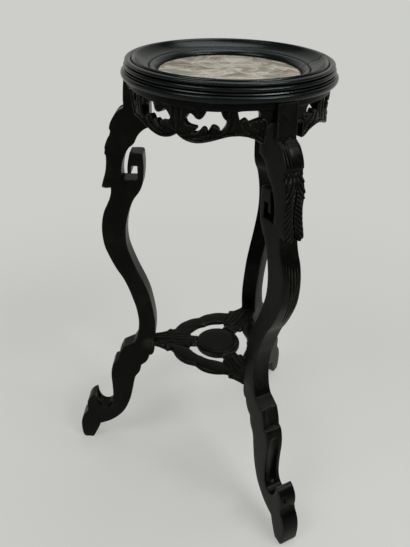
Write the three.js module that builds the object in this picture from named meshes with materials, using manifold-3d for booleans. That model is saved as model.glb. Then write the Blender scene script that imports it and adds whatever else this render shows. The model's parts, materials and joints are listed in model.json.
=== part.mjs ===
/**
 * Tripod stand: a round moulded frame holding a marble panel, three pierced aprons,
 * three sawn and carved legs, and a pierced stretcher round a disc.
 * Lengths are millimetres. The drawing below uses heights above the floor; the finished
 * group is lowered so that its origin is the middle of the marble's upper face.
 */
import * as THREE from 'three';
import { mergeVertices } from 'three/addons/utils/BufferGeometryUtils.js';
import Module from 'manifold-3d';

const wasm = await Module();
wasm.setup();

/* ---- driving dimensions ---- */
const GAP = 0.3;
const LEG_COUNT = 3;
const LEG_PITCH = (2 * Math.PI) / LEG_COUNT;
const FIRST_LEG = Math.PI;
const FIRST_JOINT = 0;

const MARBLE_TOP = 826.5;
const MARBLE_THICK = 10;
const MARBLE_RADIUS = 112.2;
const MARBLE_ARRIS = 0.6;

const FRAME_INNER = 113;
const LEDGE_INNER = 101;
const LEDGE_TOP = MARBLE_TOP - MARBLE_THICK - GAP;
const LEDGE_BOTTOM = 808;
const FRAME_BOTTOM = 817;
const SHOULDER = 146;
const REBATE_RADIUS = 160.2;
const REBATE_TOP = 832.4;

const APRON_OUTER = 160;
const APRON_INNER = 147;
const APRON_TOP = FRAME_BOTTOM - GAP;
const APRON_BLANK_LOW = 740;
const APRON_REACH = 58;
const APRON_BLANK_CUT = [120, 310];
const APRON_CUT = [140, 168];
const APRON_TENON = { inner: 150.5, outer: 156.5, low: 778, high: 806, depth: 8 };

const LEG_THICK = 33.8;
const POST_TENON = { inner: 147.5, outer: 156.5, half: 8, high: 829 };

const STRETCHER_TOP = 286.5;
const STRETCHER_THICK = 9.7;
const DISC_TOP = 284.6;
const DISC_THICK = 12;
const STRETCHER_SHOULDER = 130.2;
const ARM_TENON = { end: 146, half: 9, inset: 1.2 };
const DISC_TENON = { end: 34, half: 9, low: 278.2, high: 281.6 };
const DISC_RADIUS = 44.6;
const DISC_TOP_RADIUS = 37.5;

const PEG_RADIUS = 1.7;
const PEG_AT = 139;

const BEARER = { offset: 36, half: 17, tenonHalf: 10, tenonEnd: 105, low: 810.5, high: LEDGE_TOP };
const KEY = { half: 3.4, low: 811, high: 831, radius: 139, swing: 10.5 };

const RING_STEPS = 60;
const DISC_STEPS = 48;

const WOOD = { color: 0x14110f, roughness: 0.42, metalness: 0 };
const WOOD_HIDDEN = { color: 0x2b211a, roughness: 0.7, metalness: 0 };
const STONE = { color: 0xb3aa98, roughness: 0.28, metalness: 0 };

/* ---- outlines ---- */

/** Leg outline in the plane of the board: [radius, height], one list per smooth run. */
const LEG_RUNS = [
  [[165.5, 816.7], [168, 790], [169.2, 765]],
  [[169.2, 765], [173, 762.5], [179, 759], [186.3, 750], [192.2, 739], [194.4, 728.6], [194, 719]],
  [[194, 719], [199.5, 711], [203.7, 699], [204.8, 688], [204.2, 673], [204.9, 663], [207.4, 650],
    [211.9, 636], [215.4, 623]],
  [[215.4, 623], [210, 621], [198, 622]],
  [[198, 622], [198.4, 617], [201, 606], [205.8, 593.6], [212.6, 580], [217.4, 562], [219.6, 543.8],
    [219.1, 524.4], [216.8, 508], [212.3, 493.4], [203.3, 471], [195, 454], [186.3, 438.8],
    [176.8, 415], [169.9, 392], [165.4, 376], [162.2, 358.3], [160.4, 340], [161, 324], [163.5, 308],
    [168, 291], [174, 280]],
  [[174, 280], [185.5, 273.8], [197.3, 267]],
  [[197.3, 267], [203, 254.5], [207.3, 242], [209.5, 231.5]],
  [[209.5, 231.5], [215.8, 228.5], [220.5, 219], [223.6, 207], [225.3, 189.4], [224.8, 164],
    [224.8, 140], [226.3, 120], [230.3, 106], [236.8, 97.6], [245, 95], [252.3, 97], [258, 103],
    [262, 114], [264, 131]],
  [[264, 131], [271.5, 127], [278.6, 119.5], [283.4, 110], [285, 99], [284.6, 87]],
  [[284.6, 87], [288, 78.5], [294, 70.5], [299.3, 60], [302.6, 46], [303.6, 31], [302.8, 13]],
  [[302.8, 13], [300.6, 4.5], [297, 0]],
  [[297, 0], [279, 0]],
  [[279, 0], [273.5, 9.5], [268, 21.5], [262.7, 34], [259, 44.5]],
  [[259, 44.5], [249, 48], [232.7, 56.5], [217.3, 69.5], [203.7, 86.2], [193.9, 106.5],
    [186.4, 128.5], [180.3, 157], [175.4, 183], [172.4, 191.5]],
  [[172.4, 191.5], [164.6, 203], [161.2, 214], [159.7, 222.5]],
  [[159.7, 222.5], [149.8, 231], [144.2, 241], [141.4, 250.5]],
  [[141.4, 250.5], [135.5, 253], [132, 260], [130.5, 269]],
  [[130.5, 269], [130.5, 291]],
  [[130.5, 291], [128.3, 305], [127.2, 323], [127.6, 341], [129.7, 360], [133.6, 383], [138, 403.6],
    [146.4, 428], [158.7, 457.4], [170.2, 490], [174.9, 508], [176.5, 525], [175.8, 545],
    [173, 562], [168.3, 580], [158.8, 603.8], [148.2, 619], [142.4, 632], [139.8, 648],
    [138.8, 665], [139.4, 684]],
  [[139.4, 684], [140.6, 688], [145, 689.3], [162.3, 688.8]],
  [[162.3, 688.8], [164.8, 678], [167, 664], [167.4, 652.6]],
  [[167.4, 652.6], [161.4, 652.2]],
  [[161.4, 652.2], [160.6, 666.4]],
  [[160.6, 666.4], [150, 666.4]],
  [[150, 666.4], [150, 640.5]],
  [[150, 640.5], [177.4, 640.5]],
  [[177.4, 640.5], [177.6, 654], [176, 667], [172.6, 679.5], [167.6, 690.5], [162.3, 698.6],
    [157, 703]],
  [[157, 703], [153.2, 707], [150.6, 712.8], [146.2, 720.8], [138.4, 728.8], [130.2, 733.6],
    [126, 734.5]],
  [[126, 734.5], [126, LEDGE_BOTTOM - GAP]],
  [[126, LEDGE_BOTTOM - GAP], [SHOULDER + GAP, LEDGE_BOTTOM - GAP]],
  [[SHOULDER + GAP, LEDGE_BOTTOM - GAP], [SHOULDER + GAP, 816.7]],
  [[SHOULDER + GAP, 816.7], [165.5, 816.7]],
];

/** Section of the top frame: [radius, height]. */
const FRAME_SECTION = [
  [LEDGE_INNER, LEDGE_BOTTOM], [SHOULDER, LEDGE_BOTTOM], [SHOULDER, FRAME_BOTTOM],
  [REBATE_RADIUS, FRAME_BOTTOM], [REBATE_RADIUS, REBATE_TOP], [163.4, REBATE_TOP], [164.8, 833.6],
  [165.2, 835.6], [164.2, 837.8], [162, 838.9], [159.8, 839.3], [159.8, 840.3], [162.4, 840.8],
  [163.2, 842.2], [162.7, 843.8], [160.6, 845], [157.8, 845.2], [155, 844.5], [152.6, 843.6],
  [151.4, 846], [149.6, 847], [147.6, 845.8], [144.4, 842.2], [140.8, 839.2], [136.2, 836.4],
  [131.4, 834.7], [127.4, 833.8], [126.2, 832.6], [124.8, 833.5], [121.6, 834], [118.6, 833.2],
  [115.6, 831.2], [113.8, 829.2], [FRAME_INNER, 827.8], [FRAME_INNER, LEDGE_TOP],
  [LEDGE_INNER, LEDGE_TOP],
];

/** Section of the planted torus moulding: [radius, height]. */
const TORUS_SECTION = [
  [REBATE_RADIUS + GAP, FRAME_BOTTOM + 0.2], [165, FRAME_BOTTOM + 0.2], [167.8, 818.6],
  [169.5, 821.2], [170, 824.2], [169.1, 826.7], [166.9, 828], [165.7, 828.7], [166.2, 829.8],
  [166, 831.3], [164.4, REBATE_TOP - GAP], [REBATE_RADIUS + GAP, REBATE_TOP - GAP],
];

/** How far each apron's carved pattern sits from the middle between its legs, in degrees. */
const APRON_SHIFT = [2.8, 0, 0];

/** Lower edge of half an apron: [degrees from the middle of its pattern, height]. */
const APRON_EDGE = [
  [[0, 767.5], [2, 763.6], [4.4, 760.4], [8, 758], [12, 757.8], [16.2, 760.1], [20.6, 763.8],
    [24.6, 767.6], [28.6, 770.6], [33.5, 771.6], [37.6, 769.9], [41.3, 766.6]],
  [[41.3, 766.6], [44.6, 760.2], [47.7, 757.4], [52, 756.2],
    [APRON_REACH, 756.2]],
];

/** Larger opening of half an apron, with the leaf tips that reach into it. */
const APRON_OPENING_LARGE = [
  [[4.2, 789], [6.2, 796.4], [7.8, 798.8], [9.5, 796.2], [11.2, 792.6], [12.9, 792], [14.4, 794.6],
    [15.4, 798.8]],
  [[15.4, 798.8], [16.2, 803.8]],
  [[16.2, 803.8], [23.7, 804.3]],
  [[23.7, 804.3], [24.2, 800.3], [25.2, 795.6], [26.8, 792]],
  [[26.8, 792], [26.6, 787], [25.6, 781.5], [23.8, 775.5]],
  [[23.8, 775.5], [22.9, 780.7], [21.5, 783.4], [19.9, 784.4], [18.7, 783.2]],
  [[18.7, 783.2], [17.8, 779.4], [17.1, 774]],
  [[17.1, 774], [16.3, 778.7], [15, 781], [13.6, 779.8]],
  [[13.6, 779.8], [12.5, 775.6], [10.8, 772.8], [7.8, 772.6]],
  [[7.8, 772.6], [10.4, 775.4], [11.2, 778.4], [10.8, 781]],
  [[10.8, 781], [8.8, 781.4], [6.4, 782.6], [5, 785], [4.2, 789]],
];

/** Smaller opening of half an apron, beside the leg. */
const APRON_OPENING_SMALL = [
  [[32.2, 804.8], [35, 806], [42.7, 806.5]],
  [[42.7, 806.5], [44.2, 801], [44.4, 795]],
  [[44.4, 795], [41.6, 792.8], [38.3, 789.8]],
  [[38.3, 789.8], [37.6, 794], [36.4, 795.4]],
  [[36.4, 795.4], [35, 793.4], [33.6, 790.7]],
  [[33.6, 790.7], [32.9, 797], [32.2, 804.8]],
];

/** Half plan of a stretcher arm, from its shoulder to the notch where the strap starts. */
const ARM_EDGE = [
  [[STRETCHER_SHOULDER, 17.8], [123, 20.2], [115, 24], [108, 28], [104.4, 31.8], [101.4, 33]],
  [[101.4, 33], [98, 31.4], [93.6, 30.4]],
];

/** Strap edges in plan: [radius, degrees from the middle of the strap]. */
const STRAP_OUTER = [[97, 38.4], [97, 32], [96.6, 25.4], [95.5, 18.6], [93.3, 12], [90, 6],
  [86.8, 0]];
const STRAP_INNER = [[59.5, 0], [61, 6], [62.2, 13], [62.6, 21], [63, 29], [64.6, 35.4], [68, 41.2]];

/** Half plan of the leaf tip, from the strap to where it meets the disc. */
const LEAF_TIP = [[65.4, 22.8], [61, 22.2], [57.4, 20.6], [56.2, 15.8], [50, 15]];

/* ---- geometry helpers ---- */

/** Points along a Catmull-Rom curve through the given 2-D points. */
function smooth(points, steps) {
  if (points.length < 3) return points.map((p) => [...p]);
  const curve = new THREE.CatmullRomCurve3(
    points.map(([x, y]) => new THREE.Vector3(x, y, 0)), false, 'centripetal');
  return curve.getPoints((points.length - 1) * steps).map((p) => [p.x, p.y]);
}

/** One closed outline from runs that share their end points. */
function closeRuns(runs) {
  return runs.flatMap((run) => run.slice(0, -1));
}

/** Manifold solid of a three.js geometry. */
function solidOf(geometry) {
  const bare = geometry.clone();
  bare.deleteAttribute('normal');
  bare.deleteAttribute('uv');
  const merged = mergeVertices(bare, 1e-4);
  return new wasm.Manifold(new wasm.Mesh({
    numProp: 3,
    vertProperties: new Float32Array(merged.attributes.position.array),
    triVerts: new Uint32Array(merged.index.array),
  }));
}

/** Three.js geometry of a manifold solid. */
function geometryOf(solid) {
  const mesh = solid.getMesh();
  const geometry = new THREE.BufferGeometry();
  const stride = mesh.numProp;
  const count = mesh.vertProperties.length / stride;
  const positions = new Float32Array(count * 3);
  for (let i = 0; i < count; i += 1) {
    for (let k = 0; k < 3; k += 1) positions[3 * i + k] = mesh.vertProperties[stride * i + k];
  }
  geometry.setAttribute('position', new THREE.BufferAttribute(positions, 3));
  geometry.setIndex(new THREE.BufferAttribute(new Uint32Array(mesh.triVerts), 1));
  const flat = geometry.toNonIndexed();
  flat.computeVertexNormals();
  return flat;
}

function shapeOf(points) {
  return new THREE.Shape(points.map(([x, y]) => new THREE.Vector2(x, y)));
}

/** Upright plate: outline in [radius, height], thickness centred on the radial plane. */
function radialPlate(points, thick, angle) {
  const geometry = new THREE.ExtrudeGeometry(shapeOf(points), { depth: thick, bevelEnabled: false });
  geometry.translate(0, 0, -thick / 2);
  geometry.rotateX(Math.PI / 2);
  geometry.rotateZ(angle);
  return solidOf(geometry);
}

/** Level plate: outline in [x, y], between two heights. */
function levelPlate(points, low, high, angle = 0) {
  const geometry = new THREE.ExtrudeGeometry(shapeOf(points), { depth: high - low, bevelEnabled: false });
  geometry.translate(0, 0, low);
  geometry.rotateZ(angle);
  return solidOf(geometry);
}

/** Box from radial, sideways and height ranges, turned to an angle. */
function block([x0, x1], [y0, y1], [z0, z1], angle = 0) {
  const geometry = new THREE.BoxGeometry(x1 - x0, y1 - y0, z1 - z0);
  geometry.translate((x0 + x1) / 2, (y0 + y1) / 2, (z0 + z1) / 2);
  geometry.rotateZ(angle);
  return solidOf(geometry);
}

/** Solid of revolution about the vertical axis from a closed [radius, height] section. */
function revolve(section, steps = RING_STEPS) {
  const closed = [...section, section[0]].map(([r, z]) => new THREE.Vector2(Math.max(r, 0), z));
  const geometry = new THREE.LatheGeometry(closed, steps);
  geometry.rotateX(Math.PI / 2);
  const solid = solidOf(geometry);
  return solid.volume() > 0 ? solid : solidOf(flip(geometry));
}

function flip(geometry) {
  const turned = geometry.clone();
  const index = turned.index.array;
  for (let i = 0; i < index.length; i += 3) {
    const keep = index[i];
    index[i] = index[i + 1];
    index[i + 1] = keep;
  }
  return turned;
}

/** Prism that runs radially through a shell: outline in [radians, height]. */
function radialPrism(points, inner, outer) {
  const plane = points.map(([a, z]) => new THREE.Vector2(a, z));
  const outline = THREE.ShapeUtils.area(plane) > 0 ? plane : plane.reverse();
  const n = outline.length;
  const positions = [];
  for (const radius of [inner, outer]) {
    for (const { x, y } of outline) positions.push(radius * Math.cos(x), radius * Math.sin(x), y);
  }
  const index = [];
  for (const [a, b, c] of THREE.ShapeUtils.triangulateShape(outline, [])) {
    const ahead = THREE.ShapeUtils.area([outline[a], outline[b], outline[c]]) > 0;
    const [p, q] = ahead ? [b, c] : [c, b];
    index.push(a, q, p, a + n, p + n, q + n);
  }
  for (let i = 0; i < n; i += 1) {
    const j = (i + 1) % n;
    index.push(i, j, j + n, i, j + n, i + n);
  }
  const geometry = new THREE.BufferGeometry();
  geometry.setAttribute('position', new THREE.BufferAttribute(new Float32Array(positions), 3));
  geometry.setIndex(index);
  return solidOf(geometry);
}

const radians = (degrees) => (degrees * Math.PI) / 180;
const legAngle = (k) => FIRST_LEG + k * LEG_PITCH;
const jointAngle = (k) => FIRST_JOINT + k * LEG_PITCH;

/** Unit normal to the left of a plan segment. */
function leftNormal([ax, ay], [bx, by]) {
  const length = Math.hypot(bx - ax, by - ay);
  return [-(by - ay) / length, (bx - ax) / length];
}

/** Plan line moved sideways by a distance, with mitred corners. */
function offsetLine(line, distance) {
  return line.map((point, i) => {
    const before = leftNormal(line[Math.max(i - 1, 0)], line[Math.max(i, 1)]);
    const last = line.length - 1;
    const after = leftNormal(line[Math.min(i, last - 1)], line[Math.min(i + 1, last)]);
    const scale = distance / (1 + before[0] * after[0] + before[1] * after[1]);
    return [point[0] + (before[0] + after[0]) * scale, point[1] + (before[1] + after[1]) * scale];
  });
}

/** Thin saw kerf along a plan line, through a height range. */
function kerf(line, low, high, angle) {
  const outline = [...offsetLine(line, GAP / 2), ...offsetLine(line, -GAP / 2).reverse()];
  return levelPlate(outline, low, high, angle);
}

/** Separate bodies of a cut ring, in order of angle from a start. */
function bodiesByAngle(solid, start) {
  const middle = (body) => {
    const box = body.boundingBox();
    return Math.atan2(box.min[1] + box.max[1], box.min[0] + box.max[0]);
  };
  const turn = (body) => (((middle(body) - start) % (2 * Math.PI)) + 2 * Math.PI) % (2 * Math.PI);
  return solid.decompose().sort((a, b) => turn(a) - turn(b));
}

/* ---- top ---- */

/** Plan line of the hooked scarf between two frame segments, about angle zero. */
const SCARF = [[94, -23.5], [132.6, 34], [142.4, 22.4], [168, 70.5]];

/** Plan line of the plain oblique scarf between two torus segments. */
const TORUS_SCARF = [[150, -16], [176, 12]];

function marbleTop() {
  const low = MARBLE_TOP - MARBLE_THICK;
  return revolve([
    [0, low], [MARBLE_RADIUS - MARBLE_ARRIS, low], [MARBLE_RADIUS, low + MARBLE_ARRIS],
    [MARBLE_RADIUS, MARBLE_TOP - MARBLE_ARRIS], [MARBLE_RADIUS - MARBLE_ARRIS, MARBLE_TOP],
    [0, MARBLE_TOP],
  ]);
}

function keySpot(k) {
  const angle = jointAngle(k) + radians(KEY.swing);
  return { x: KEY.radius * Math.cos(angle), y: KEY.radius * Math.sin(angle), angle };
}

function keyBlock(k, clearance) {
  const { x, y, angle } = keySpot(k);
  const half = KEY.half + clearance;
  const solid = block([-half, half], [-half, half], [KEY.low - clearance, KEY.high + clearance], angle);
  return solid.translate([x, y, 0]);
}

function bearer(sign) {
  const { offset, half, low, high } = BEARER;
  const sides = [sign * offset - half, sign * offset + half];
  const board = block([-LEDGE_INNER, LEDGE_INNER], sides, [low, high]);
  const reach = LEDGE_INNER - GAP;
  const disc = revolve([[0, low - 1], [reach, low - 1], [reach, high + 1], [0, high + 1]]);
  return board.intersect(disc).add(bearerTenon(sign, 0));
}

function bearerTenon(sign, clearance) {
  const { offset, tenonHalf, tenonEnd } = BEARER;
  const reach = tenonEnd + clearance;
  const half = tenonHalf + clearance;
  return block([-reach, reach], [sign * offset - half, sign * offset + half],
    [BEARER.low - clearance, BEARER.low + 3 + clearance]);
}

function postTenon(k, clearance) {
  const { inner, outer, half, high } = POST_TENON;
  return block([inner - clearance, outer + clearance], [-half - clearance, half + clearance],
    [FRAME_BOTTOM - 1, high + clearance], legAngle(k));
}

function topRings() {
  let ring = revolve(FRAME_SECTION);
  for (let k = 0; k < LEG_COUNT; k += 1) {
    ring = ring.subtract(kerf(SCARF, LEDGE_BOTTOM - 5, 860, jointAngle(k)));
    ring = ring.subtract(keyBlock(k, GAP));
    ring = ring.subtract(postTenon(k, GAP));
  }
  for (const sign of [-1, 1]) ring = ring.subtract(bearerTenon(sign, GAP));
  return bodiesByAngle(ring, jointAngle(0));
}

function torusRings() {
  let ring = revolve(TORUS_SECTION);
  for (let k = 0; k < LEG_COUNT; k += 1) {
    ring = ring.subtract(kerf(TORUS_SCARF, FRAME_BOTTOM - 5, REBATE_TOP + 5, legAngle(k)));
  }
  return bodiesByAngle(ring, legAngle(0));
}

/* ---- aprons ---- */

function mirrorOutline(points) {
  return points.map(([a, z]) => [-a, z]).reverse();
}

function inRadians(points, middle) {
  return points.map(([a, z]) => [middle + radians(a), z]);
}

function apronTenon(k, side, clearance) {
  const { inner, outer, low, high, depth } = APRON_TENON;
  const face = LEG_THICK / 2;
  const start = clearance > 0 ? face - depth - clearance : face - depth;
  const sides = side > 0 ? [start, face + 3] : [-face - 3, -start];
  return block([inner - clearance, outer + clearance], sides,
    [low - clearance, high + clearance], legAngle(k));
}

function apron(k) {
  const middle = legAngle(k) + LEG_PITCH / 2 + radians(APRON_SHIFT[k]);
  const shell = revolve([
    [APRON_INNER, APRON_BLANK_LOW], [APRON_OUTER, APRON_BLANK_LOW], [APRON_OUTER, APRON_TOP],
    [APRON_INNER, APRON_TOP],
  ]);
  const edge = APRON_EDGE.flatMap((run, i) => run.slice(i ? 1 : 0));
  const span = [...mirrorOutline(edge.slice(1)), ...edge];
  const outline = [...span, [APRON_REACH, APRON_TOP + 2], [-APRON_REACH, APRON_TOP + 2]];
  let solid = shell.intersect(radialPrism(inRadians(outline, middle), ...APRON_BLANK_CUT));
  for (const opening of [APRON_OPENING_LARGE, APRON_OPENING_SMALL]) {
    const hole = closeRuns(opening);
    solid = solid.subtract(radialPrism(inRadians(hole, middle), ...APRON_CUT));
    solid = solid.subtract(radialPrism(inRadians(mirrorOutline(hole), middle), ...APRON_CUT));
  }
  return solid.subtract(legWay(k)).subtract(legWay(k + 1))
    .add(apronTenon(k, 1, 0)).add(apronTenon(k + 1, -1, 0));
}

/** Room for a leg's post and whatever lies beyond its middle plane. */
function legWay(k) {
  const clear = LEG_THICK / 2 + GAP;
  return block([100, 200], [-clear, clear], [700, 900], legAngle(k));
}

/* ---- legs ---- */

function peg(k, radius, length) {
  const geometry = new THREE.CylinderGeometry(radius, radius, length, 12);
  geometry.translate(PEG_AT, 0, STRETCHER_TOP - STRETCHER_THICK / 2);
  geometry.rotateZ(legAngle(k));
  return solidOf(geometry);
}

/** V-shaped cut that divides the hanging leaf into two fringes. */
function fringeCut(k) {
  const cut = [[207, 676], [226, 618], [240, 618], [240, 700], [203, 700]];
  const wedge = radialPlate(cut, 2.4, legAngle(k));
  return wedge.subtract(radialPlate([[180, 600], [203.6, 600], [212.6, 622], [204.8, 650], [201.8, 664],
    [201.4, 690], [180, 700]], 6, legAngle(k)));
}

function armTenon(k, clearance) {
  const { end, half, inset } = ARM_TENON;
  const low = STRETCHER_TOP - STRETCHER_THICK;
  return block([STRETCHER_SHOULDER - 1, end + clearance], [-half - clearance, half + clearance],
    [low + inset - clearance, STRETCHER_TOP - inset + clearance], legAngle(k));
}

function leg(k) {
  let solid = radialPlate(closeRuns(LEG_RUNS), LEG_THICK, legAngle(k));
  solid = solid.add(postTenon(k, 0));
  solid = solid.subtract(apronTenon(k, 1, GAP)).subtract(apronTenon(k, -1, GAP));
  solid = solid.subtract(armTenon(k, GAP)).subtract(peg(k, PEG_RADIUS + GAP, LEG_THICK + 10));
  return solid.subtract(fringeCut(k));
}

/* ---- stretcher ---- */

function polar([radius, degrees]) {
  return [radius * Math.cos(radians(degrees)), radius * Math.sin(radians(degrees))];
}

/** Half plan of one arm, from the shoulder round the strap to the disc. */
function armHalfPlan() {
  const strap = (points) => smooth(points.map(([r, a]) => polar([r, 60 - a])), 2);
  const outer = strap(STRAP_OUTER);
  const inner = strap(STRAP_INNER);
  const edge = ARM_EDGE.flatMap((run, i) => smooth(run, 2).slice(i ? 1 : 0));
  const cutBack = ([x, y]) => [x + (Math.sin(radians(60)) * GAP) / 2, y - GAP / 4];
  outer[outer.length - 1] = cutBack(outer[outer.length - 1]);
  inner[0] = cutBack(inner[0]);
  return [...edge, ...outer, ...inner, ...LEAF_TIP, ...discSide()];
}

/** Concave end of an arm, half of it, following the disc at a small gap. */
function discSide() {
  const radius = DISC_RADIUS + GAP;
  return [14.8, 10, 5, 0].map((y) => [Math.sqrt(radius * radius - y * y), y]);
}

function discTenon(k, clearance) {
  const { end, half, low, high } = DISC_TENON;
  return block([end - clearance, DISC_RADIUS + 2], [-half - clearance, half + clearance],
    [low - clearance, high + clearance], legAngle(k));
}

function stretcherArm(k) {
  const half = armHalfPlan();
  const plan = [...half, ...half.slice(0, -1).map(([x, y]) => [x, -y]).reverse()];
  let solid = levelPlate(plan, STRETCHER_TOP - STRETCHER_THICK, STRETCHER_TOP, legAngle(k));
  solid = solid.add(armTenon(k, 0)).add(discTenon(k, 0));
  return solid.subtract(peg(k, PEG_RADIUS + GAP, LEG_THICK + 10));
}

function stretcherDisc() {
  const low = DISC_TOP - DISC_THICK;
  let solid = revolve([
    [0, low], [DISC_RADIUS - 1.4, low], [DISC_RADIUS, low + 1.6], [DISC_RADIUS, DISC_TOP - 3.6],
    [DISC_RADIUS - 1.6, DISC_TOP - 2.2], [DISC_TOP_RADIUS + 2, DISC_TOP - 0.7],
    [DISC_TOP_RADIUS, DISC_TOP], [0, DISC_TOP],
  ], DISC_STEPS);
  for (let k = 0; k < LEG_COUNT; k += 1) solid = solid.subtract(discTenon(k, GAP));
  return solid;
}

/* ---- assembly ---- */

const stand = new THREE.Group();
stand.name = 'tripod_stand';

function place(name, solid, finish) {
  const geometry = geometryOf(solid);
  geometry.translate(0, 0, -MARBLE_TOP);
  const mesh = new THREE.Mesh(geometry, new THREE.MeshStandardMaterial(finish));
  mesh.name = name;
  stand.add(mesh);
}

place('marble_top', marbleTop(), STONE);
topRings().forEach((solid, k) => place(`top_ring_${k + 1}`, solid, WOOD));
torusRings().forEach((solid, k) => place(`torus_moulding_${k + 1}`, solid, WOOD));
[-1, 1].forEach((sign, i) => place(`bearer_${i + 1}`, bearer(sign), WOOD_HIDDEN));
for (let k = 0; k < LEG_COUNT; k += 1) {
  place(`ring_key_${k + 1}`, keyBlock(k, 0), WOOD_HIDDEN);
  place(`apron_${k + 1}`, apron(k), WOOD);
  place(`leg_${k + 1}`, leg(k), WOOD);
  place(`stretcher_arm_${k + 1}`, stretcherArm(k), WOOD);
  place(`tenon_peg_${k + 1}`, peg(k, PEG_RADIUS, LEG_THICK), WOOD);
}
place('stretcher_disc', stretcherDisc(), WOOD);

export default stand;
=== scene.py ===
"""Tripod stand with a marble panel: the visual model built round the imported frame.

Sizes are millimetres and heights are above the floor. Meshes are written in metres about
the middle of the marble's upper face, as the frame has them.
"""

from __future__ import annotations

import json
import logging
import math
from dataclasses import dataclass, field, replace
from enum import Enum
from typing import Callable, Sequence

import bmesh
import bpy
import numpy as np
from mathutils import Matrix, Vector
from mathutils.geometry import delaunay_2d_cdt

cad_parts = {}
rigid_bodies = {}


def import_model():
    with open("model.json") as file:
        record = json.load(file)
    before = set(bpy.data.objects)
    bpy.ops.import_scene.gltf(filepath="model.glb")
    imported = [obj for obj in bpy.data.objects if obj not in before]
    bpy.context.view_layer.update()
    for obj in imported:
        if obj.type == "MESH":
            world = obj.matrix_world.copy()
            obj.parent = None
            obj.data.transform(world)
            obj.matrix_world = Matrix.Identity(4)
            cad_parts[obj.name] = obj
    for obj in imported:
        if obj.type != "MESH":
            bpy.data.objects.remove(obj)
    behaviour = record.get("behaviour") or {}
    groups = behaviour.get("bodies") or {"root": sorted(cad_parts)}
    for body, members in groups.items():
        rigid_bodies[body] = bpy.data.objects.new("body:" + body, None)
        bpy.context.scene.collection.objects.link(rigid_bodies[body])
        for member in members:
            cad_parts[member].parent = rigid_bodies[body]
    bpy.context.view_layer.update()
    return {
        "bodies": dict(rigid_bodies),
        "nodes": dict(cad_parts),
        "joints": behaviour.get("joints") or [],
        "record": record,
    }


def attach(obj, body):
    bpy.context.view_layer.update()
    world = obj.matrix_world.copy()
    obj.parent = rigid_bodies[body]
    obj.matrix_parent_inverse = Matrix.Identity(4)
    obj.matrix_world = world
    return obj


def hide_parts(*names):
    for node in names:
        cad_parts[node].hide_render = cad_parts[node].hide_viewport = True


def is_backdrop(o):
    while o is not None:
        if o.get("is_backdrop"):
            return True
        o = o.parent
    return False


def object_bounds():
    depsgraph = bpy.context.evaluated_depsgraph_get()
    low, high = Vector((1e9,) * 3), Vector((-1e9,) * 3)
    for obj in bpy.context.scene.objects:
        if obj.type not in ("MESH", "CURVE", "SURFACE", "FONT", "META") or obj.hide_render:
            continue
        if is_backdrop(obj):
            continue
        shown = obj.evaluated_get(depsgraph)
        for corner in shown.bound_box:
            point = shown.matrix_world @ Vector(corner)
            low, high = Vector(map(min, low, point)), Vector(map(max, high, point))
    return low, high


LOG = logging.getLogger("tripod_stand")

MM = 0.001
MARBLE_HEIGHT = 826.5
LEG_COUNT = 3
LEG_PITCH = 360.0 / LEG_COUNT
FIRST_LEG = 180.0

# Meshing, with lengths in millimetres, but the weld's in metres.
BATCH = 1500
CURVE_SPANS = 14
ROW_SPACING = 0.87
MERGE_GRID = 0.12
LEAST_MITRE = 0.3
WELD = 2e-6
SHARP_ANGLE = 42.0
# A bend at which a crest or a hollow counts in full, and how far neighbours even it out.
FULL_BEND = 0.22
EVENING = 0.6

Run = Sequence[tuple[float, float]]
Loops = list[np.ndarray]


def leg_angle(k: int) -> float:
    """Angle of leg k in degrees."""
    return FIRST_LEG + k * LEG_PITCH


# Lines and outlines ---------------------------------------------------------------


def curve_points(run: Run, spans: int = CURVE_SPANS) -> np.ndarray:
    """Dense points on the centripetal curve through a run.

    Args:
        run: The points that the curve passes through.
        spans: Points on each span between two of them.

    Returns:
        The points, one row each.
    """
    p = np.asarray(run, float)
    if len(p) == 2:
        return p
    ends = np.vstack([2 * p[0] - p[1], p, 2 * p[-1] - p[-2]])
    t = np.linspace(0, 1, spans, endpoint=False)[:, None]
    rows = []
    for i in range(len(p) - 1):
        q = ends[i : i + 4]
        d = [max(float(np.linalg.norm(q[k + 1] - q[k])), 1e-9) ** 0.5 for k in range(3)]
        t1 = ((q[1] - q[0]) / d[0] - (q[2] - q[0]) / (d[0] + d[1]) + (q[2] - q[1]) / d[1]) * d[1]
        t2 = ((q[2] - q[1]) / d[1] - (q[3] - q[1]) / (d[1] + d[2]) + (q[3] - q[2]) / d[2]) * d[1]
        c2 = -3 * q[1] + 3 * q[2] - 2 * t1 - t2
        c3 = 2 * q[1] - 2 * q[2] + t1 + t2
        rows.append(q[1] + t1 * t + c2 * t**2 + c3 * t**3)
    return np.vstack([*rows, p[-1:]])


def evenly(run: Run, step: float) -> np.ndarray:
    """Points at nearly equal spacing along the curve through a run.

    Args:
        run: The points that the curve passes through.
        step: The spacing wanted.

    Returns:
        The points, both ends included.
    """
    dense = curve_points(run)
    sides = np.linalg.norm(np.diff(dense, axis=0), axis=1)
    length = np.concatenate([[0.0], np.cumsum(sides)])
    count = max(1, round(length[-1] / step))
    at = np.linspace(0, length[-1], count + 1)
    return np.column_stack([np.interp(at, length, dense[:, k]) for k in (0, 1)])


def closed_line(runs: Sequence[Run], steps: Sequence[float]) -> np.ndarray:
    """One closed line from runs that share their end points.

    Args:
        runs: The runs, in order round the line.
        steps: The point spacing of each run.

    Returns:
        The points, without the first repeated at the end.
    """
    return np.vstack([evenly(run, step)[:-1] for run, step in zip(runs, steps)])


def area_of(loop: np.ndarray) -> float:
    """Signed area of a closed line, positive when it runs anticlockwise."""
    x, y = loop.T
    return 0.5 * float(np.sum(x * np.roll(y, -1) - np.roll(x, -1) * y))


def wound(loop: np.ndarray, ahead: bool) -> np.ndarray:
    """The closed line, turned to run anticlockwise if ahead, otherwise clockwise."""
    return loop if (area_of(loop) > 0) == ahead else loop[::-1]


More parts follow.
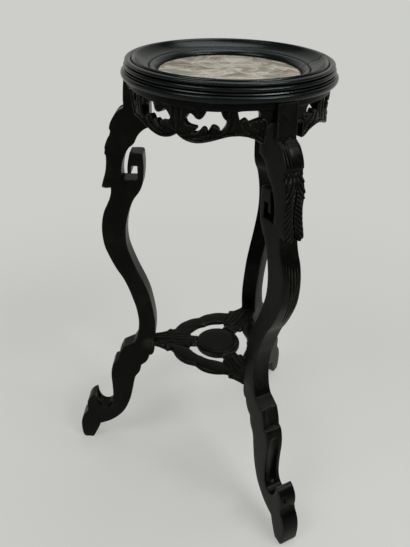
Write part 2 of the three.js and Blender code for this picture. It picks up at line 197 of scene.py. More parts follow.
def nearest_on(points: np.ndarray, loops: Loops) -> tuple[np.ndarray, np.ndarray]:
    """Nearest places on closed lines.

    Args:
        points: The points to measure from.
        loops: The closed lines.

    Returns:
        The distances, and the nearest places.
    """
    a = np.vstack(loops)
    b = np.vstack([np.roll(loop, -1, axis=0) for loop in loops])
    side = b - a
    square = np.maximum((side**2).sum(axis=1), 1e-12)
    distance = np.empty(len(points))
    place = np.empty((len(points), 2))
    for low in range(0, len(points), BATCH):
        part = slice(low, low + BATCH)
        p = points[part]
        t = ((p[:, None] - a) * side).sum(axis=2) / square
        spot = a + np.clip(t, 0, 1)[..., None] * side
        gap = ((p[:, None] - spot) ** 2).sum(axis=2)
        best = gap.argmin(axis=1)
        rows = np.arange(len(p))
        distance[part] = np.sqrt(gap[rows, best])
        place[part] = spot[rows, best]
    return distance, place


def inside(points: np.ndarray, loops: Loops) -> np.ndarray:
    """Whether each point lies in the material between an outline and its openings."""
    hit = np.zeros(len(points), bool)
    for loop in loops:
        for (ax, ay), (bx, by) in zip(loop, np.roll(loop, -1, axis=0)):
            if ay == by:
                continue
            crosses = (points[:, 1] > ay) != (points[:, 1] > by)
            at = ax + (points[:, 1] - ay) * (bx - ax) / (by - ay)
            hit ^= crosses & (points[:, 0] < at)
    return hit


def into_material(loop: np.ndarray) -> np.ndarray:
    """Mitred normals to the left of a closed line, one for each point."""
    sides = np.roll(loop, -1, axis=0) - loop
    sides /= np.maximum(np.linalg.norm(sides, axis=1, keepdims=True), 1e-12)
    left = np.column_stack([-sides[:, 1], sides[:, 0]])
    both = left + np.roll(left, 1, axis=0)
    return both / np.maximum((both**2).sum(axis=1, keepdims=True) / 2, LEAST_MITRE)


def inset(loop: np.ndarray, loops: Loops, distance: float) -> np.ndarray:
    """The line moved into the material, with no point nearer the outlines than asked.

    Args:
        loop: The line to move, with the material on its left.
        loops: All lines that bound the material.
        distance: How far to move it.

    Returns:
        The moved line, point for point.
    """
    moved = loop + into_material(loop) * distance
    for _ in range(4):
        gap, place = nearest_on(moved, loops)
        short = np.clip(distance - gap, 0, None)
        moved = moved + (moved - place) / np.maximum(gap, 1e-6)[:, None] * short[:, None]
    return moved


def sheet_of(loops: Loops, step: float, rings: Sequence[float]) -> tuple[np.ndarray, list]:
    """Triangles that fill an outline with openings.

    Args:
        loops: The outline, then its openings, each with the material on its left.
        step: Spacing of the points inside.
        rings: Distances from the lines at which extra points follow them.

    Returns:
        The points, those of the lines first and in order, and the triangles.
    """
    low, high = loops[0].min(axis=0), loops[0].max(axis=0)
    rows = np.arange(low[1] + step / 2, high[1], step * ROW_SPACING)
    grid = []
    for i, y in enumerate(rows):
        xs = np.arange(low[0] + step * (0.25 + 0.5 * (i % 2)), high[0], step)
        grid.append(np.column_stack([xs, np.full(len(xs), y)]))
    inner = np.vstack(grid)
    inner = inner[inside(inner, loops)]
    gap, _ = nearest_on(inner, loops)
    inner = inner[gap > (max(rings) if rings else 0) + step * 0.6]
    extra = []
    for distance in rings:
        ring = np.vstack([inset(loop, loops, distance) for loop in loops])
        ring = ring[inside(ring, loops)]
        gap, _ = nearest_on(ring, loops)
        ring = ring[gap > distance * 0.9]
        _, keep = np.unique(np.round(ring / MERGE_GRID), axis=0, return_index=True)
        extra.append(ring[np.sort(keep)])
    lines = np.vstack(loops)
    points = np.vstack([lines, *extra, inner])
    edges, start = [], 0
    for loop in loops:
        n = len(loop)
        edges += [(start + i, start + (i + 1) % n) for i in range(n)]
        start += n
    made = delaunay_2d_cdt([Vector(p) for p in points], edges, [], 0, 1e-5, True)
    flat = np.array([tuple(v) for v in made[0]])
    faces = np.array([f for f in made[2] if len(f) == 3])
    faces = faces[inside(flat[faces].mean(axis=1), loops)]
    back = np.full(len(flat), -1)
    for new, olds in enumerate(made[3]):
        back[new] = min(olds) if olds else -1
    order = np.argsort(np.where(back < 0, len(points) + 1, back), kind="stable")
    place = np.empty(len(flat), int)
    place[order] = np.arange(len(flat))
    return flat[order], place[faces].tolist()


# Carving --------------------------------------------------------------------------


class Cut(Enum):
    """The section that a stroke of carving leaves."""

    STRAND = "raised and round"
    LEAF = "raised, with a midrib and slanting veins"
    GOUGE = "cut, round at the bottom"
    VEE = "cut, sharp at the bottom"


# A vein's depth at its middle and its loss with distance from it, how the veins fade towards
# the midrib, and the midrib's own depth and half width in millimetres.
VEIN_LEVEL, VEIN_SLOPE = 1.2, 4.4
FOLD_LEVEL, FOLD_SLOPE = 0.3, 4.0
MIDRIB_DEPTH, MIDRIB_HALF = 0.5, 0.7


@dataclass(frozen=True)
class Stroke:
    """One strand, leaf or cut along a line on a carved face.

    Start and end are its widths there, as shares of its width at the swell. Veins is their
    spacing, or 0 for none.
    """

    line: Run
    width: float
    rise: float
    cut: Cut = Cut.STRAND
    start: float = 0.5
    end: float = 0.15
    swell: float = 0.35
    veins: float = 0.0
    lean: float = 1.2
    vein_depth: float = 0.6
    folded: bool = True

    def measured(self, points: np.ndarray) -> tuple[np.ndarray, np.ndarray, float]:
        """Where points lie from the stroke's line.

        Args:
            points: Points on the carved face.

        Returns:
            Length along the line, signed distance across it, and the line's length.
        """
        line = curve_points(self.line, 6)
        sides = np.diff(line, axis=0)
        length = np.maximum(np.linalg.norm(sides, axis=1), 1e-9)
        before = np.concatenate([[0.0], np.cumsum(length)])
        best = np.full(len(points), np.inf)
        along = np.zeros(len(points))
        across = np.zeros(len(points))
        for a, side, size, reach in zip(line, sides, length, before):
            offset = points - a
            t = np.clip(offset @ side / size**2, 0, 1)
            away = offset - t[:, None] * side
            gap = np.hypot(*away.T)
            turn = np.sign(side[0] * offset[:, 1] - side[1] * offset[:, 0])
            closer = gap < best
            best = np.where(closer, gap, best)
            along = np.where(closer, reach + t * size, along)
            across = np.where(closer, gap * turn, across)
        return along, across, float(before[-1])

    def section(self, points: np.ndarray) -> np.ndarray:
        """Share of the full rise at each point, from 0 outside the stroke to 1."""
        along, across, total = self.measured(points)
        t = along / max(total, 1e-6)
        half = self.width / 2 * np.interp(t, [0, self.swell, 1], [self.start, 1, self.end])
        x = np.abs(across) / np.maximum(half, 0.05)
        if self.cut is Cut.VEE:
            return np.clip(1 - x, 0, 1)
        body = np.clip(1 - x**2, 0, 1)
        if self.cut is Cut.STRAND:
            body = np.sqrt(body)
        if self.veins:
            phase = (along - self.lean * (np.abs(across) if self.folded else across)) / self.veins
            groove = VEIN_LEVEL - VEIN_SLOPE * np.abs(phase - np.round(phase))
            fade = np.clip(x * FOLD_SLOPE - FOLD_LEVEL, 0, 1) if self.folded else 1.0
            body = body * (1 - self.vein_depth * np.clip(groove, 0, 1) * fade)
        if self.cut is Cut.LEAF:
            body = body * (1 - MIDRIB_DEPTH * np.exp(-((across / MIDRIB_HALF) ** 2)))
        return body


def strand(line: Run, width: float, rise: float, **more: float) -> Stroke:
    """A raised round strand along a line, with its greatest width and its rise."""
    return Stroke(line, width, rise, Cut.STRAND, **more)


def leaf(line: Run, width: float, rise: float, **more: float) -> Stroke:
    """A raised leaf along a line, with its greatest width and its rise."""
    return Stroke(line, width, rise, Cut.LEAF, **more)


def gouge(line: Run, width: float, depth: float, **more: float) -> Stroke:
    """A round-bottomed cut along a line, with its greatest width and its depth."""
    return Stroke(line, width, depth, Cut.GOUGE, **more)


def vee(line: Run, width: float, depth: float, **more: float) -> Stroke:
    """A sharp-bottomed cut along a line, with its greatest width and its depth."""
    return Stroke(line, width, depth, Cut.VEE, **more)


@dataclass(frozen=True)
class Relief:
    """Depth of carving over a face, from its uncut level at 0 downwards."""

    ground: float
    raised: tuple[Stroke, ...] = ()
    cuts: tuple[Stroke, ...] = ()

    def lift(self, points: np.ndarray, ground: np.ndarray | None = None) -> np.ndarray:
        """Level of the face at each point.

        Args:
            points: Points on the face.
            ground: Level of the ground at each, where it isn't the same all over.

        Returns:
            The level, never above 0.
        """
        level = np.full(len(points), self.ground) if ground is None else ground.copy()
        base = level.copy()
        for stroke in self.raised:
            level = np.maximum(level, base + stroke.rise * stroke.section(points))
        for stroke in self.cuts:
            level = level - stroke.rise * stroke.section(points)
        return np.clip(level, None, 0)


# Meshes ---------------------------------------------------------------------------


@dataclass
class Shell:
    """Points, faces, grain and painted joint shade of one closed piece, in millimetres."""

    points: list[np.ndarray] = field(default_factory=list)
    grain: list[np.ndarray] = field(default_factory=list)
    joint_shade: list[np.ndarray] = field(default_factory=list)
    faces: list[Sequence[int]] = field(default_factory=list)
    count: int = 0

    def add(self, points: np.ndarray, grain: np.ndarray | None = None, joint_shade: float = 0.0) -> int:
        """Adds points.

        Args:
            points: Places above the floor, one row each.
            grain: Place of each in the board it is cut from, with the grain along X.
            joint_shade: How much painted shade darkens it at a joint, from 0 to 1.

        Returns:
            The index of the first.
        """
        start = self.count
        self.points.append(points)
        self.grain.append(points if grain is None else grain)
        self.joint_shade.append(np.full(len(points), joint_shade))
        self.count += len(points)
        return start

    def turned(self, degrees: float, along: float = 0.0) -> "Shell":
        """The same shell turned about the upright axis, its grain moved along by a length."""
        places = turned(np.vstack(self.points), degrees)
        grain = np.vstack(self.grain) + (along, 0, 0)
        return Shell([places], [grain], [np.concatenate(self.joint_shade)], self.faces, self.count)

    def strip(self, first: Sequence[int], second: Sequence[int], closed: bool = True) -> None:
        """Adds quads between two rows of points, joined end to end if closed."""
        n = len(first)
        for i in range(n if closed else n - 1):
            j = (i + 1) % n
            self.faces.append((first[i], first[j], second[j], second[i]))

    def build(self, name: str) -> bpy.types.Object:
        """Makes the mesh object, with its faces outward and its crests and hollows marked for
        rubbed wear, painted highlight and painted shade.
        """
        mesh = bpy.data.meshes.new(name)
        places = np.vstack(self.points) - (0, 0, MARBLE_HEIGHT)
        mesh.from_pydata((places * MM).tolist(), [], self.faces)
        grain = mesh.attributes.new("grain", "FLOAT_VECTOR", "POINT")
        grain.data.foreach_set("vector", (np.vstack(self.grain) * MM).astype(np.float32).ravel())
        write_level(mesh, "joint_shade", np.concatenate(self.joint_shade))
        made = bmesh.new()
        made.from_mesh(mesh)
        bmesh.ops.remove_doubles(made, verts=made.verts, dist=WELD)
        bmesh.ops.dissolve_degenerate(made, edges=made.edges, dist=1e-7)
        bmesh.ops.recalc_face_normals(made, faces=made.faces)
        made.to_mesh(mesh)
        made.free()
        mesh.shade_smooth()
        mesh.set_sharp_from_angle(angle=math.radians(SHARP_ANGLE))
        mark_crests_and_hollows(mesh)
        piece = bpy.data.objects.new(name, mesh)
        bpy.context.scene.collection.objects.link(piece)
        return piece


def write_level(mesh: bpy.types.Mesh, name: str, values: np.ndarray) -> None:
    """Stores a number for each point on a mesh."""
    layer = mesh.attributes.new(name, "FLOAT", "POINT")
    layer.data.foreach_set("value", values.astype(np.float32))


def mark_crests_and_hollows(mesh: bpy.types.Mesh) -> None:
    """Writes how far each point stands out as a crest or lies in a hollow, with joint faces counted
    as hollows for their painted shade.
    """
    count = len(mesh.vertices)
    places = np.empty(count * 3)
    normals = np.empty(count * 3)
    ends = np.empty(len(mesh.edges) * 2, int)
    mesh.vertices.foreach_get("co", places)
    mesh.vertices.foreach_get("normal", normals)
    mesh.edges.foreach_get("vertices", ends)
    places, normals, ends = places.reshape(-1, 3), normals.reshape(-1, 3), ends.reshape(-1, 2)
    a, b = ends.T
    side = places[b] - places[a]
    size = np.maximum(np.linalg.norm(side, axis=1), 1e-7)
    share = np.bincount(a, minlength=count) + np.bincount(b, minlength=count)
    bend = np.bincount(a, -(side * normals[a]).sum(axis=1) / size, count)
    bend += np.bincount(b, (side * normals[b]).sum(axis=1) / size, count)
    bend /= np.maximum(share, 1)
    for _ in range(2):
        near = np.bincount(a, bend[b], count) + np.bincount(b, bend[a], count)
        bend = (1 - EVENING) * bend + EVENING * near / np.maximum(share, 1)
    joint_shade = np.empty(count)
    mesh.attributes["joint_shade"].data.foreach_get("value", joint_shade)
    crest, hollow = (np.clip(value / FULL_BEND, 0, 1) for value in (bend, -bend))
    write_level(mesh, "crest", crest * (1 - joint_shade))
    write_level(mesh, "hollow", np.maximum(hollow, joint_shade))


def turned(points: np.ndarray, degrees: float) -> np.ndarray:
    """Points turned about the upright axis."""
    c, s = math.cos(math.radians(degrees)), math.sin(math.radians(degrees))
    x, y, z = points.T
    return np.column_stack([c * x - s * y, s * x + c * y, z])


# Shaders --------------------------------------------------------------------------


class Value:
    """A number socket that takes part in sums and products."""

    def __init__(self, graph: "Graph", socket: bpy.types.NodeSocket) -> None:
        """Keeps the graph and the socket."""
        self.graph = graph
        self.socket = socket

    def _maths(self, operation: str, *values: object, clamp: bool = False) -> "Value":
        """A Math node on values, with its result as a new value."""
        settings = {"operation": operation, "use_clamp": clamp}
        node = self.graph.node("ShaderNodeMath", settings, dict(enumerate(values)))
        return Value(self.graph, node.outputs[0])

    def __add__(self, other: object) -> "Value":
        """Sum."""
        return self._maths("ADD", self, other)

    __radd__ = __add__

    def __sub__(self, other: object) -> "Value":
        """Difference."""
        return self._maths("SUBTRACT", self, other)

    def __rsub__(self, other: object) -> "Value":
        """Difference, the other way round."""
        return self._maths("SUBTRACT", other, self)

    def __mul__(self, other: object) -> "Value":
        """Product."""
        return self._maths("MULTIPLY", self, other)

    __rmul__ = __mul__

    def absolute(self) -> "Value":
        """The value without its sign."""
        return self._maths("ABSOLUTE", self)

    def clamped(self) -> "Value":
        """The value held between 0 and 1."""
        return self._maths("ADD", self, 0.0, clamp=True)

    def ramp(self, low: float, high: float) -> "Value":
        """Smooth rise from 0 at low to 1 at high."""
        node = self.graph.node(
            "ShaderNodeMapRange",
            {"interpolation_type": "SMOOTHSTEP"},
            {"Value": self, "From Min": low, "From Max": high},
        )
        return Value(self.graph, node.outputs[0])


class Graph:
    """The node tree of one material."""

    def __init__(self, name: str) -> None:
        """Starts a material with an empty tree."""
        self.material = bpy.data.materials.new(name)
        self.material.use_nodes = True
        self.tree = self.material.node_tree
        self.tree.nodes.clear()

    def node(self, kind: str, settings: dict | None = None,
             inputs: dict | None = None) -> bpy.types.Node:
        """Adds one node.

        Args:
            kind: The node's type.
            settings: Its properties, set first.
            inputs: Its sockets by name or number, as values, colours or links.

        Returns:
            The node.
        """
        made = self.tree.nodes.new(kind)
        for key, value in (settings or {}).items():
            setattr(made, key, value)
        for key, value in (inputs or {}).items():
            socket = made.inputs[key]
            if isinstance(value, Value):
                self.tree.links.new(value.socket, socket)
            elif isinstance(value, bpy.types.NodeSocket):
                self.tree.links.new(value, socket)
            elif isinstance(value, tuple) and len(value) == 3 and socket.type == "RGBA":
                socket.default_value = (*value, 1.0)
            else:
                socket.default_value = value
        return made

    def attribute(self, name: str) -> Value:
        """A number stored on the mesh."""
        node = self.node("ShaderNodeAttribute", {"attribute_name": name})
        return Value(self, node.outputs["Fac"])

    def places(self, name: str | None) -> bpy.types.NodeSocket:
        """A vector stored on the mesh, or the object's own coordinates where there is none."""
        if name is None:
            return self.node("ShaderNodeTexCoord").outputs["Object"]
        return self.node("ShaderNodeAttribute", {"attribute_name": name}).outputs["Vector"]

    def stretched(self, vector: bpy.types.NodeSocket,
                  scale: tuple[float, float, float]) -> bpy.types.NodeSocket:
        """A vector scaled along each axis."""
        settings = {"operation": "MULTIPLY"}
        return self.node("ShaderNodeVectorMath", settings, {0: vector, 1: scale}).outputs[0]

    def noise(self, vector: bpy.types.NodeSocket, scale: float, detail: float = 3.0,
              roughness: float = 0.55, distortion: float = 0.0) -> Value:
        """Cloudy noise.

        Args:
            vector: The coordinates it is read at.
            scale: Its scale, in patches per metre.
            detail: How many finer layers it has.
            roughness: How strong these are.
            distortion: How much it swirls.

        Returns:
            The noise, from 0 to 1.
        """
        inputs = {"Vector": vector, "Scale": scale, "Detail": detail, "Roughness": roughness,
                  "Distortion": distortion}
        return Value(self, self.node("ShaderNodeTexNoise", None, inputs).outputs["Fac"])

    def blend(self, share: object, first: object, second: object) -> bpy.types.NodeSocket:
        """A colour between two, by a share from 0 to 1."""
        settings = {"data_type": "RGBA", "clamp_factor": True}
        return self.node("ShaderNodeMix", settings, {0: share, 6: first, 7: second}).outputs[2]

    def bump(self, height: Value, strength: float, distance: float,
             under: bpy.types.NodeSocket | None = None) -> bpy.types.NodeSocket:
        """A normal tilted by a height.

        Args:
            height: The height, from 0 to 1.
            strength: How much of it shows.
            distance: What 1 stands for, in metres.
            under: A normal that it is laid over.

        Returns:
            The normal.
        """
        inputs = {"Height": height, "Strength": strength, "Distance": distance}
        if under is not None:
            inputs["Normal"] = under
        return self.node("ShaderNodeBump", None, inputs).outputs["Normal"]

    def surface(self, inputs: dict) -> bpy.types.Material:
        """Ends the tree in a surface shader and returns the material."""
        shader = self.node("ShaderNodeBsdfPrincipled", None, inputs)
        self.node("ShaderNodeOutputMaterial", None, {"Surface": shader.outputs[0]})
        return self.material


@dataclass(frozen=True)
class BlackWood:
    """Hardwood stained and waxed black, rubbed brown with a painted highlight on its crests, and
    darkened with painted shade in its hollows and joints.
    """

    name: str = "black_wood"
    coordinates: str | None = "grain"
    stain: tuple[float, float, float] = (0.0018, 0.0018, 0.0016)
    faded: tuple[float, float, float] = (0.0098, 0.0092, 0.0072)
    # Crest colour: partly rubbed wear, partly a painted highlight.
    rubbed_and_highlight: tuple[float, float, float] = (0.040, 0.036, 0.028)
    # Near-black colour of the painted shade in hollows and at joints.
    hollow_shade: tuple[float, float, float] = (0.0008, 0.0008, 0.0007)
    roughness: float = 0.29
    density: float = 1.165
    sheen: tuple[float, float, float] = (0.96, 1.0, 0.98)
    # How much of the crest colour is laid on, both its wear and its painted highlight.
    wear_and_highlight: float = 1.0

    def make(self) -> bpy.types.Material:
        """Builds the material."""
        g = Graph(self.name)
        place = g.places(self.coordinates)
        fibre = g.noise(g.stretched(place, (28, 420, 420)), 1.0, 4.0, 0.6)
        pores = g.noise(g.stretched(place, (90, 1500, 1500)), 1.0, 2.0, 0.5)
        patches = g.noise(place, 22.0, 4.0, 0.6, 0.4)
        smears = g.noise(g.stretched(place, (14, 60, 60)), 1.0, 3.0, 0.6)
        crest = g.attribute("crest")
        hollow = g.attribute("hollow")
        fading = patches.ramp(0.42, 0.75) * 0.6 + fibre.ramp(0.5, 0.8) * 0.25
        base = g.blend(fading, self.stain, self.faded)
        # Lighter crests: rubbed wear together with a painted highlight.
        rub_and_highlight = crest.ramp(0.12, 0.85) * (smears.ramp(0.40, 0.66) * 0.7 + 0.3) * self.wear_and_highlight
        wear_and_highlight = g.blend(rub_and_highlight.clamped(), base, self.rubbed_and_highlight)
        # Hollows and joint faces are darkened towards near-black: painted shade.
        colour = g.blend(hollow.ramp(0.08, 0.6) * 0.85, wear_and_highlight, self.hollow_shade)
        rough = patches * 0.16 + hollow.ramp(0.1, 0.7) * 0.30 + fibre * 0.08
        grain = g.bump(fibre, 0.20, 0.0006)
        fine = g.bump(pores, 0.10, 0.0003, grain)
        return g.surface({
            "Base Color": colour,
            "Roughness": (rough + (self.roughness - 0.10)).clamped(),
            "Normal": fine,
            "IOR": self.density,
            "Specular Tint": self.sheen,
        })


POLISHED_WOOD = BlackWood(
    name="polished_wood", stain=(0.0020, 0.0028, 0.0030), faded=(0.0048, 0.0058, 0.0058),
    roughness=0.20, density=1.27, sheen=(0.86, 1.0, 1.0), wear_and_highlight=0.5,
)
PEG_WOOD = BlackWood(name="peg_wood", coordinates=None, wear_and_highlight=0.0)


@dataclass(frozen=True)
class PlainWood:
    """Dark hardwood left from the plane, on faces that nobody sees."""

    name: str = "plain_wood"
    early: tuple[float, float, float] = (0.060, 0.040, 0.028)
    late: tuple[float, float, float] = (0.022, 0.014, 0.010)

    def make(self) -> bpy.types.Material:
        """Builds the material."""
        g = Graph(self.name)
        place = g.places(None)
        fibre = g.noise(g.stretched(place, (16, 260, 260)), 1.0, 5.0, 0.6, 0.6)
        patches = g.noise(place, 30.0, 3.0)
        colour = g.blend((fibre * 0.8 + patches * 0.4).ramp(0.35, 0.8), self.early, self.late)
        return g.surface({
            "Base Color": colour,
            "Roughness": (fibre * 0.2 + 0.55).clamped(),
            "Normal": g.bump(fibre, 0.4, 0.0006),
        })


@dataclass(frozen=True)
class Marble:
    """Polished mottled marble in beige, pinkish brown and grey."""

    name: str = "mottled_marble"
    shade: tuple[float, float, float] = (0.16, 0.15, 0.112)
    beige: tuple[float, float, float] = (0.36, 0.335, 0.272)
    brown: tuple[float, float, float] = (0.165, 0.112, 0.078)
    grey: tuple[float, float, float] = (0.085, 0.096, 0.075)
    cream: tuple[float, float, float] = (0.55, 0.53, 0.46)

    def make(self) -> bpy.types.Material:
        """Builds the material."""
        g = Graph(self.name)
        place = g.places(None)
        cloud = g.noise(g.stretched(place, (17, 21, 14)), 1.0, 4.0, 0.6, 0.8)
        warm = g.noise(g.stretched(place, (18, 23, 20)), 1.0, 4.0, 0.55, 0.9)
        grey = g.noise(g.stretched(place, (21, 27, 20)), 1.0, 4.0, 0.55, 0.7)
        vein = g.noise(g.stretched(place, (16, 24, 16)), 1.0, 5.0, 0.6, 1.2)
        line = 1 - (vein - 0.5).absolute().ramp(0.0, 0.03)
        colour = g.blend(cloud.ramp(0.36, 0.60), self.shade, self.beige)
        colour = g.blend(warm.ramp(0.50, 0.60) * 0.8, colour, self.brown)
        colour = g.blend(grey.ramp(0.55, 0.62) * 0.8, colour, self.grey)
        colour = g.blend(line * 0.45, colour, self.cream)
        return g.surface({
            "Base Color": colour,
            "Roughness": (cloud * 0.1 + 0.26).clamped(),
            "Normal": g.bump(cloud, 0.03, 0.001),
            "IOR": 1.22,
        })


# The top --------------------------------------------------------------------------


@dataclass
class MarblePanel:
    """The round marble panel that lies on the frame's ledge."""

    radius: float = 111.9
    top: float = MARBLE_HEIGHT - 0.8
    thick: float = 9.2
    arris: float = 0.8
    arris_steps: int = 5
    rings: int = 8
    steps: int = 160

    def build(self) -> bpy.types.Object:
        """Turns the panel's section about its middle."""
        r, low, a = self.radius, self.top - self.thick, self.arris
        turn = np.linspace(0, math.pi / 2, self.arris_steps)
        bow = [(a * (1 - math.sin(t)), a * (1 - math.cos(t))) for t in turn]
        upper = [(r - x, self.top - y) for x, y in bow[::-1]]
        lower = [(r - x, low + y) for x, y in bow]
        steps = [k * r / self.rings for k in range(1, self.rings)]
        over = [(x, self.top) for x in steps]
        under = [(x, low) for x in steps[::-1]]
        section = [*over, *upper, *lower[::-1], *under]
        return lathe("marble_panel", section, self.steps, self.top, low)


def lathe(name: str, section: Run, steps: int, top: float, low: float) -> bpy.types.Object:
    """A round piece turned from a section.

    Args:
        name: The piece's name.
        section: Radius and height, from near the middle of the top to near that of the foot.
        steps: Points round the piece.
        top: Height of its middle on top.
        low: Height of its middle underneath.

    Returns:
        The piece.
    """
    shell = Shell()
    angle = np.linspace(0, 2 * math.pi, steps, endpoint=False)
    rows = []
    for r, z in section:
        ring = np.column_stack([r * np.cos(angle), r * np.sin(angle), np.full(steps, z)])
        start = shell.add(ring)
        rows.append(list(range(start, start + steps)))
    for first, second in zip(rows, rows[1:]):
        shell.strip(first, second)
    for row, z in ((rows[0], top), (rows[-1], low)):
        middle = shell.add(np.array([[0.0, 0.0, z]]))
        shell.faces += [(row[i], row[(i + 1) % steps], middle) for i in range(steps)]
    return shell.build(name)


@dataclass
class SweptRing:
    """A moulded ring in three segments that meet on slanting joints.

    Cracks are the widths taken off each side of the three joints. Each joint's faces get painted
    shade, darkest at the widest.
    """

    name: str
    section: Sequence[Run]
    scarf: Run
    first_joint: float
    cracks: tuple[float, ...] = (0.3, 0.3, 0.3)
    step: float = 1.3
    filling: float = 6.0
    steps: int = 84
    # Share of a segment over which the painted shade at its ends fades out.
    joint_shade_reach: float = 0.004
    grain_radius: float = 140.0
    reach: tuple[float, float] = (99.0, 170.0)

    def joint_at(self, radius: np.ndarray) -> np.ndarray:
        """Angle of the joint line at each radius, in degrees from the joint's middle."""
        line = np.asarray(self.scarf, float)
        angle = np.zeros(len(radius))
        for a, b in zip(line, line[1:]):
            side = b - a
            p, q, c = side @ side, a @ side, a @ a - radius**2
            root = np.sqrt(np.maximum(q * q - p * c, 0))
            t = (-q + root) / p
            spot = a + t[:, None] * side
            here = (t >= -1e-6) & (t <= 1 + 1e-6)
            angle = np.where(here, np.degrees(np.arctan2(spot[:, 1], spot[:, 0])), angle)
        return angle

    def build(self) -> list[bpy.types.Object]:
        """Sweeps the section between each pair of joints."""
        line = closed_line(self.section, [self.step] * len(self.section))
        radius, height = line.T
        lean = self.joint_at(radius)
        sheet, fill = sheet_of([wound(line, True)], self.filling, ())
        flip = area_of(line) < 0
        band = self.joint_shade_reach
        shares = (0, band, *np.linspace(0, 1, self.steps)[1:-1], 1 - band, 1)
        pieces = []
        for k in range(LEG_COUNT):
            shell = Shell()
            slack = [np.degrees(self.cracks[j % LEG_COUNT] / radius) for j in (k, k + 1)]
            begin = self.first_joint + k * LEG_PITCH + lean + slack[0]
            end = self.first_joint + (k + 1) * LEG_PITCH + lean - slack[1]
            rows = []
            for share in shares:
                crack = self.cracks[(k + round(share)) % LEG_COUNT]
                # The end rows get painted shade, so that the joint shows as a dark crack.
                joint_shade = crack / max(self.cracks) if share in (0, 1) else 0.0
                angle = np.radians(begin + (end - begin) * share)
                ring = np.column_stack([radius * np.cos(angle), radius * np.sin(angle), height])
                grain = np.column_stack([angle * self.grain_radius, radius, height])
                start = shell.add(ring, grain, joint_shade)
                rows.append(list(range(start, start + len(line))))
            for first, second in zip(rows, rows[1:]):
                shell.strip(first, second)
            self.cap(shell, rows[0], sheet, fill, flip, begin)
            self.cap(shell, rows[-1], sheet, fill, flip, end)
            pieces.append(shell.build(f"{self.name}_{k + 1}"))
        return pieces

    def cap(self, shell: Shell, row: list[int], sheet: np.ndarray, fill: list, flip: bool,
            angle: np.ndarray) -> None:
        """Closes one end of a segment.

        Args:
            shell: The segment.
            row: The indices of its end row.
            sheet: Points of the section's filling, those of its line first.
            fill: Triangles of the filling.
            flip: Whether the filling runs the other way round.
            angle: Angle of each point of the end row, in degrees.
        """
        n = len(row)
        line = row[::-1] if flip else list(row)
        inner = sheet[n:]
        if len(inner):
            radius, height = inner.T
            turn = np.radians(np.interp(radius, self.reach, (angle.min(), angle.max())))
            made = np.column_stack([radius * np.cos(turn), radius * np.sin(turn), height])
            # The cap's inner points are fully darkened with painted shade.
            start = shell.add(made, joint_shade=1.0)
            line += list(range(start, start + len(inner)))
        shell.faces += [tuple(line[i] for i in face) for face in fill]


FRAME_SECTION: tuple[Run, ...] = (
    ((101, 808), (146, 808)),
    ((146, 808), (146, 817)),
    ((146, 817), (160.2, 817)),
    ((160.2, 817), (160.2, 832.4)),
    ((160.2, 832.4), (163.4, 832.4)),
    ((163.4, 832.4), (164.8, 833.6), (165.2, 835.6), (164.2, 837.8), (162, 838.9), (159.8, 839.3)),
    ((159.8, 839.3), (157.6, 839.2)),
    ((157.6, 839.2), (157.6, 840.4)),
    ((157.6, 840.4), (159.8, 840.4)),
    ((159.8, 840.4), (162.4, 840.8), (163.2, 842.2), (162.7, 843.8), (160.6, 845), (157.8, 845.2),
     (155, 844.5), (153, 842.2)),
    ((153, 842.2), (152.2, 845), (150.9, 846.5), (149.6, 847), (147.6, 845.8), (144.4, 842.2),
     (140.8, 839.2), (136.2, 836.4), (131.4, 834.7), (127.4, 833.8), (126.2, 831.7)),
    ((126.2, 831.7), (124.8, 833.5), (121.6, 834), (118.6, 833.2), (115.6, 831.2), (113.8, 829.2),
     (113, 827.8)),
    ((113, 827.8), (113, 816.2)),
    ((113, 816.2), (101, 816.2)),
    ((101, 816.2), (101, 808)),
)

TORUS_SECTION: tuple[Run, ...] = (
    ((160.5, 817.2), (165, 817.2)),
    ((165, 817.2), (167.8, 818.6), (169.5, 821.2), (169.98, 824.2), (169.1, 826.7), (166.9, 828),
     (163.8, 828.4)),
    ((163.8, 828.4), (163.8, 829.2)),
    ((163.8, 829.2), (165.6, 829.3), (166, 830.2), (165.2, 831.2), (162.6, 831.4)),
    ((162.6, 831.4), (160.5, 831.4)),
    ((160.5, 831.4), (160.5, 817.2)),
)

FRAME_SCARF: Run = ((94, -23.5), (132.6, 34), (142.4, 22.4), (168, 70.5))
TORUS_SCARF: Run = ((150, -16), (176, 12))


# Carved boards --------------------------------------------------------------------


def rounded_edge(points: np.ndarray, loops: Loops, radius: float) -> np.ndarray:
    """How far a face drops near its outlines, where its arris is rounded over."""
    gap, _ = nearest_on(points, loops)
    x = np.clip(1 - gap / radius, 0, 1)
    return -radius * (1 - np.sqrt(np.clip(1 - x**2, 0, 1)))


@dataclass
class Board:
    """A board with a carved face, a plain back and sawn edges between them.

    The face's sheet starts with the points of the loops, and so does the back's. Placed
    turns points of the face and their depths behind it into places and grain.
    """

    loops: Loops
    face: tuple[np.ndarray, list]
    level: np.ndarray
    thick: float
    back_step: float
    edge_rows: tuple[float, float]
    placed: Callable[[np.ndarray, np.ndarray], tuple[np.ndarray, np.ndarray | None]]

    def form(self) -> Shell:
        """The board's shell."""
        shell = Shell()
        back = sheet_of(self.loops, self.back_step, ())
        starts = []
        for (points, faces), depth in ((self.face, -self.level),
                                       (back, np.full(len(back[0]), self.thick))):
            starts.append(shell.add(*self.placed(points, depth)))
            shell.faces += [tuple(starts[-1] + i for i in face) for face in faces]
        done = 0
        for loop in self.loops:
            n = len(loop)
            ends = [list(range(start + done, start + done + n)) for start in starts]
            rows = [ends[0]]
            for share in self.edge_rows:
                depth = -self.level[done : done + n] * (1 - share) + self.thick * share
                row = shell.add(*self.placed(loop, depth))
                rows.append(list(range(row, row + n)))
            rows.append(ends[1])
            for first, second in zip(rows, rows[1:]):
                shell.strip(first, second)
            done += n
        return shell


# The aprons -----------------------------------------------------------------------


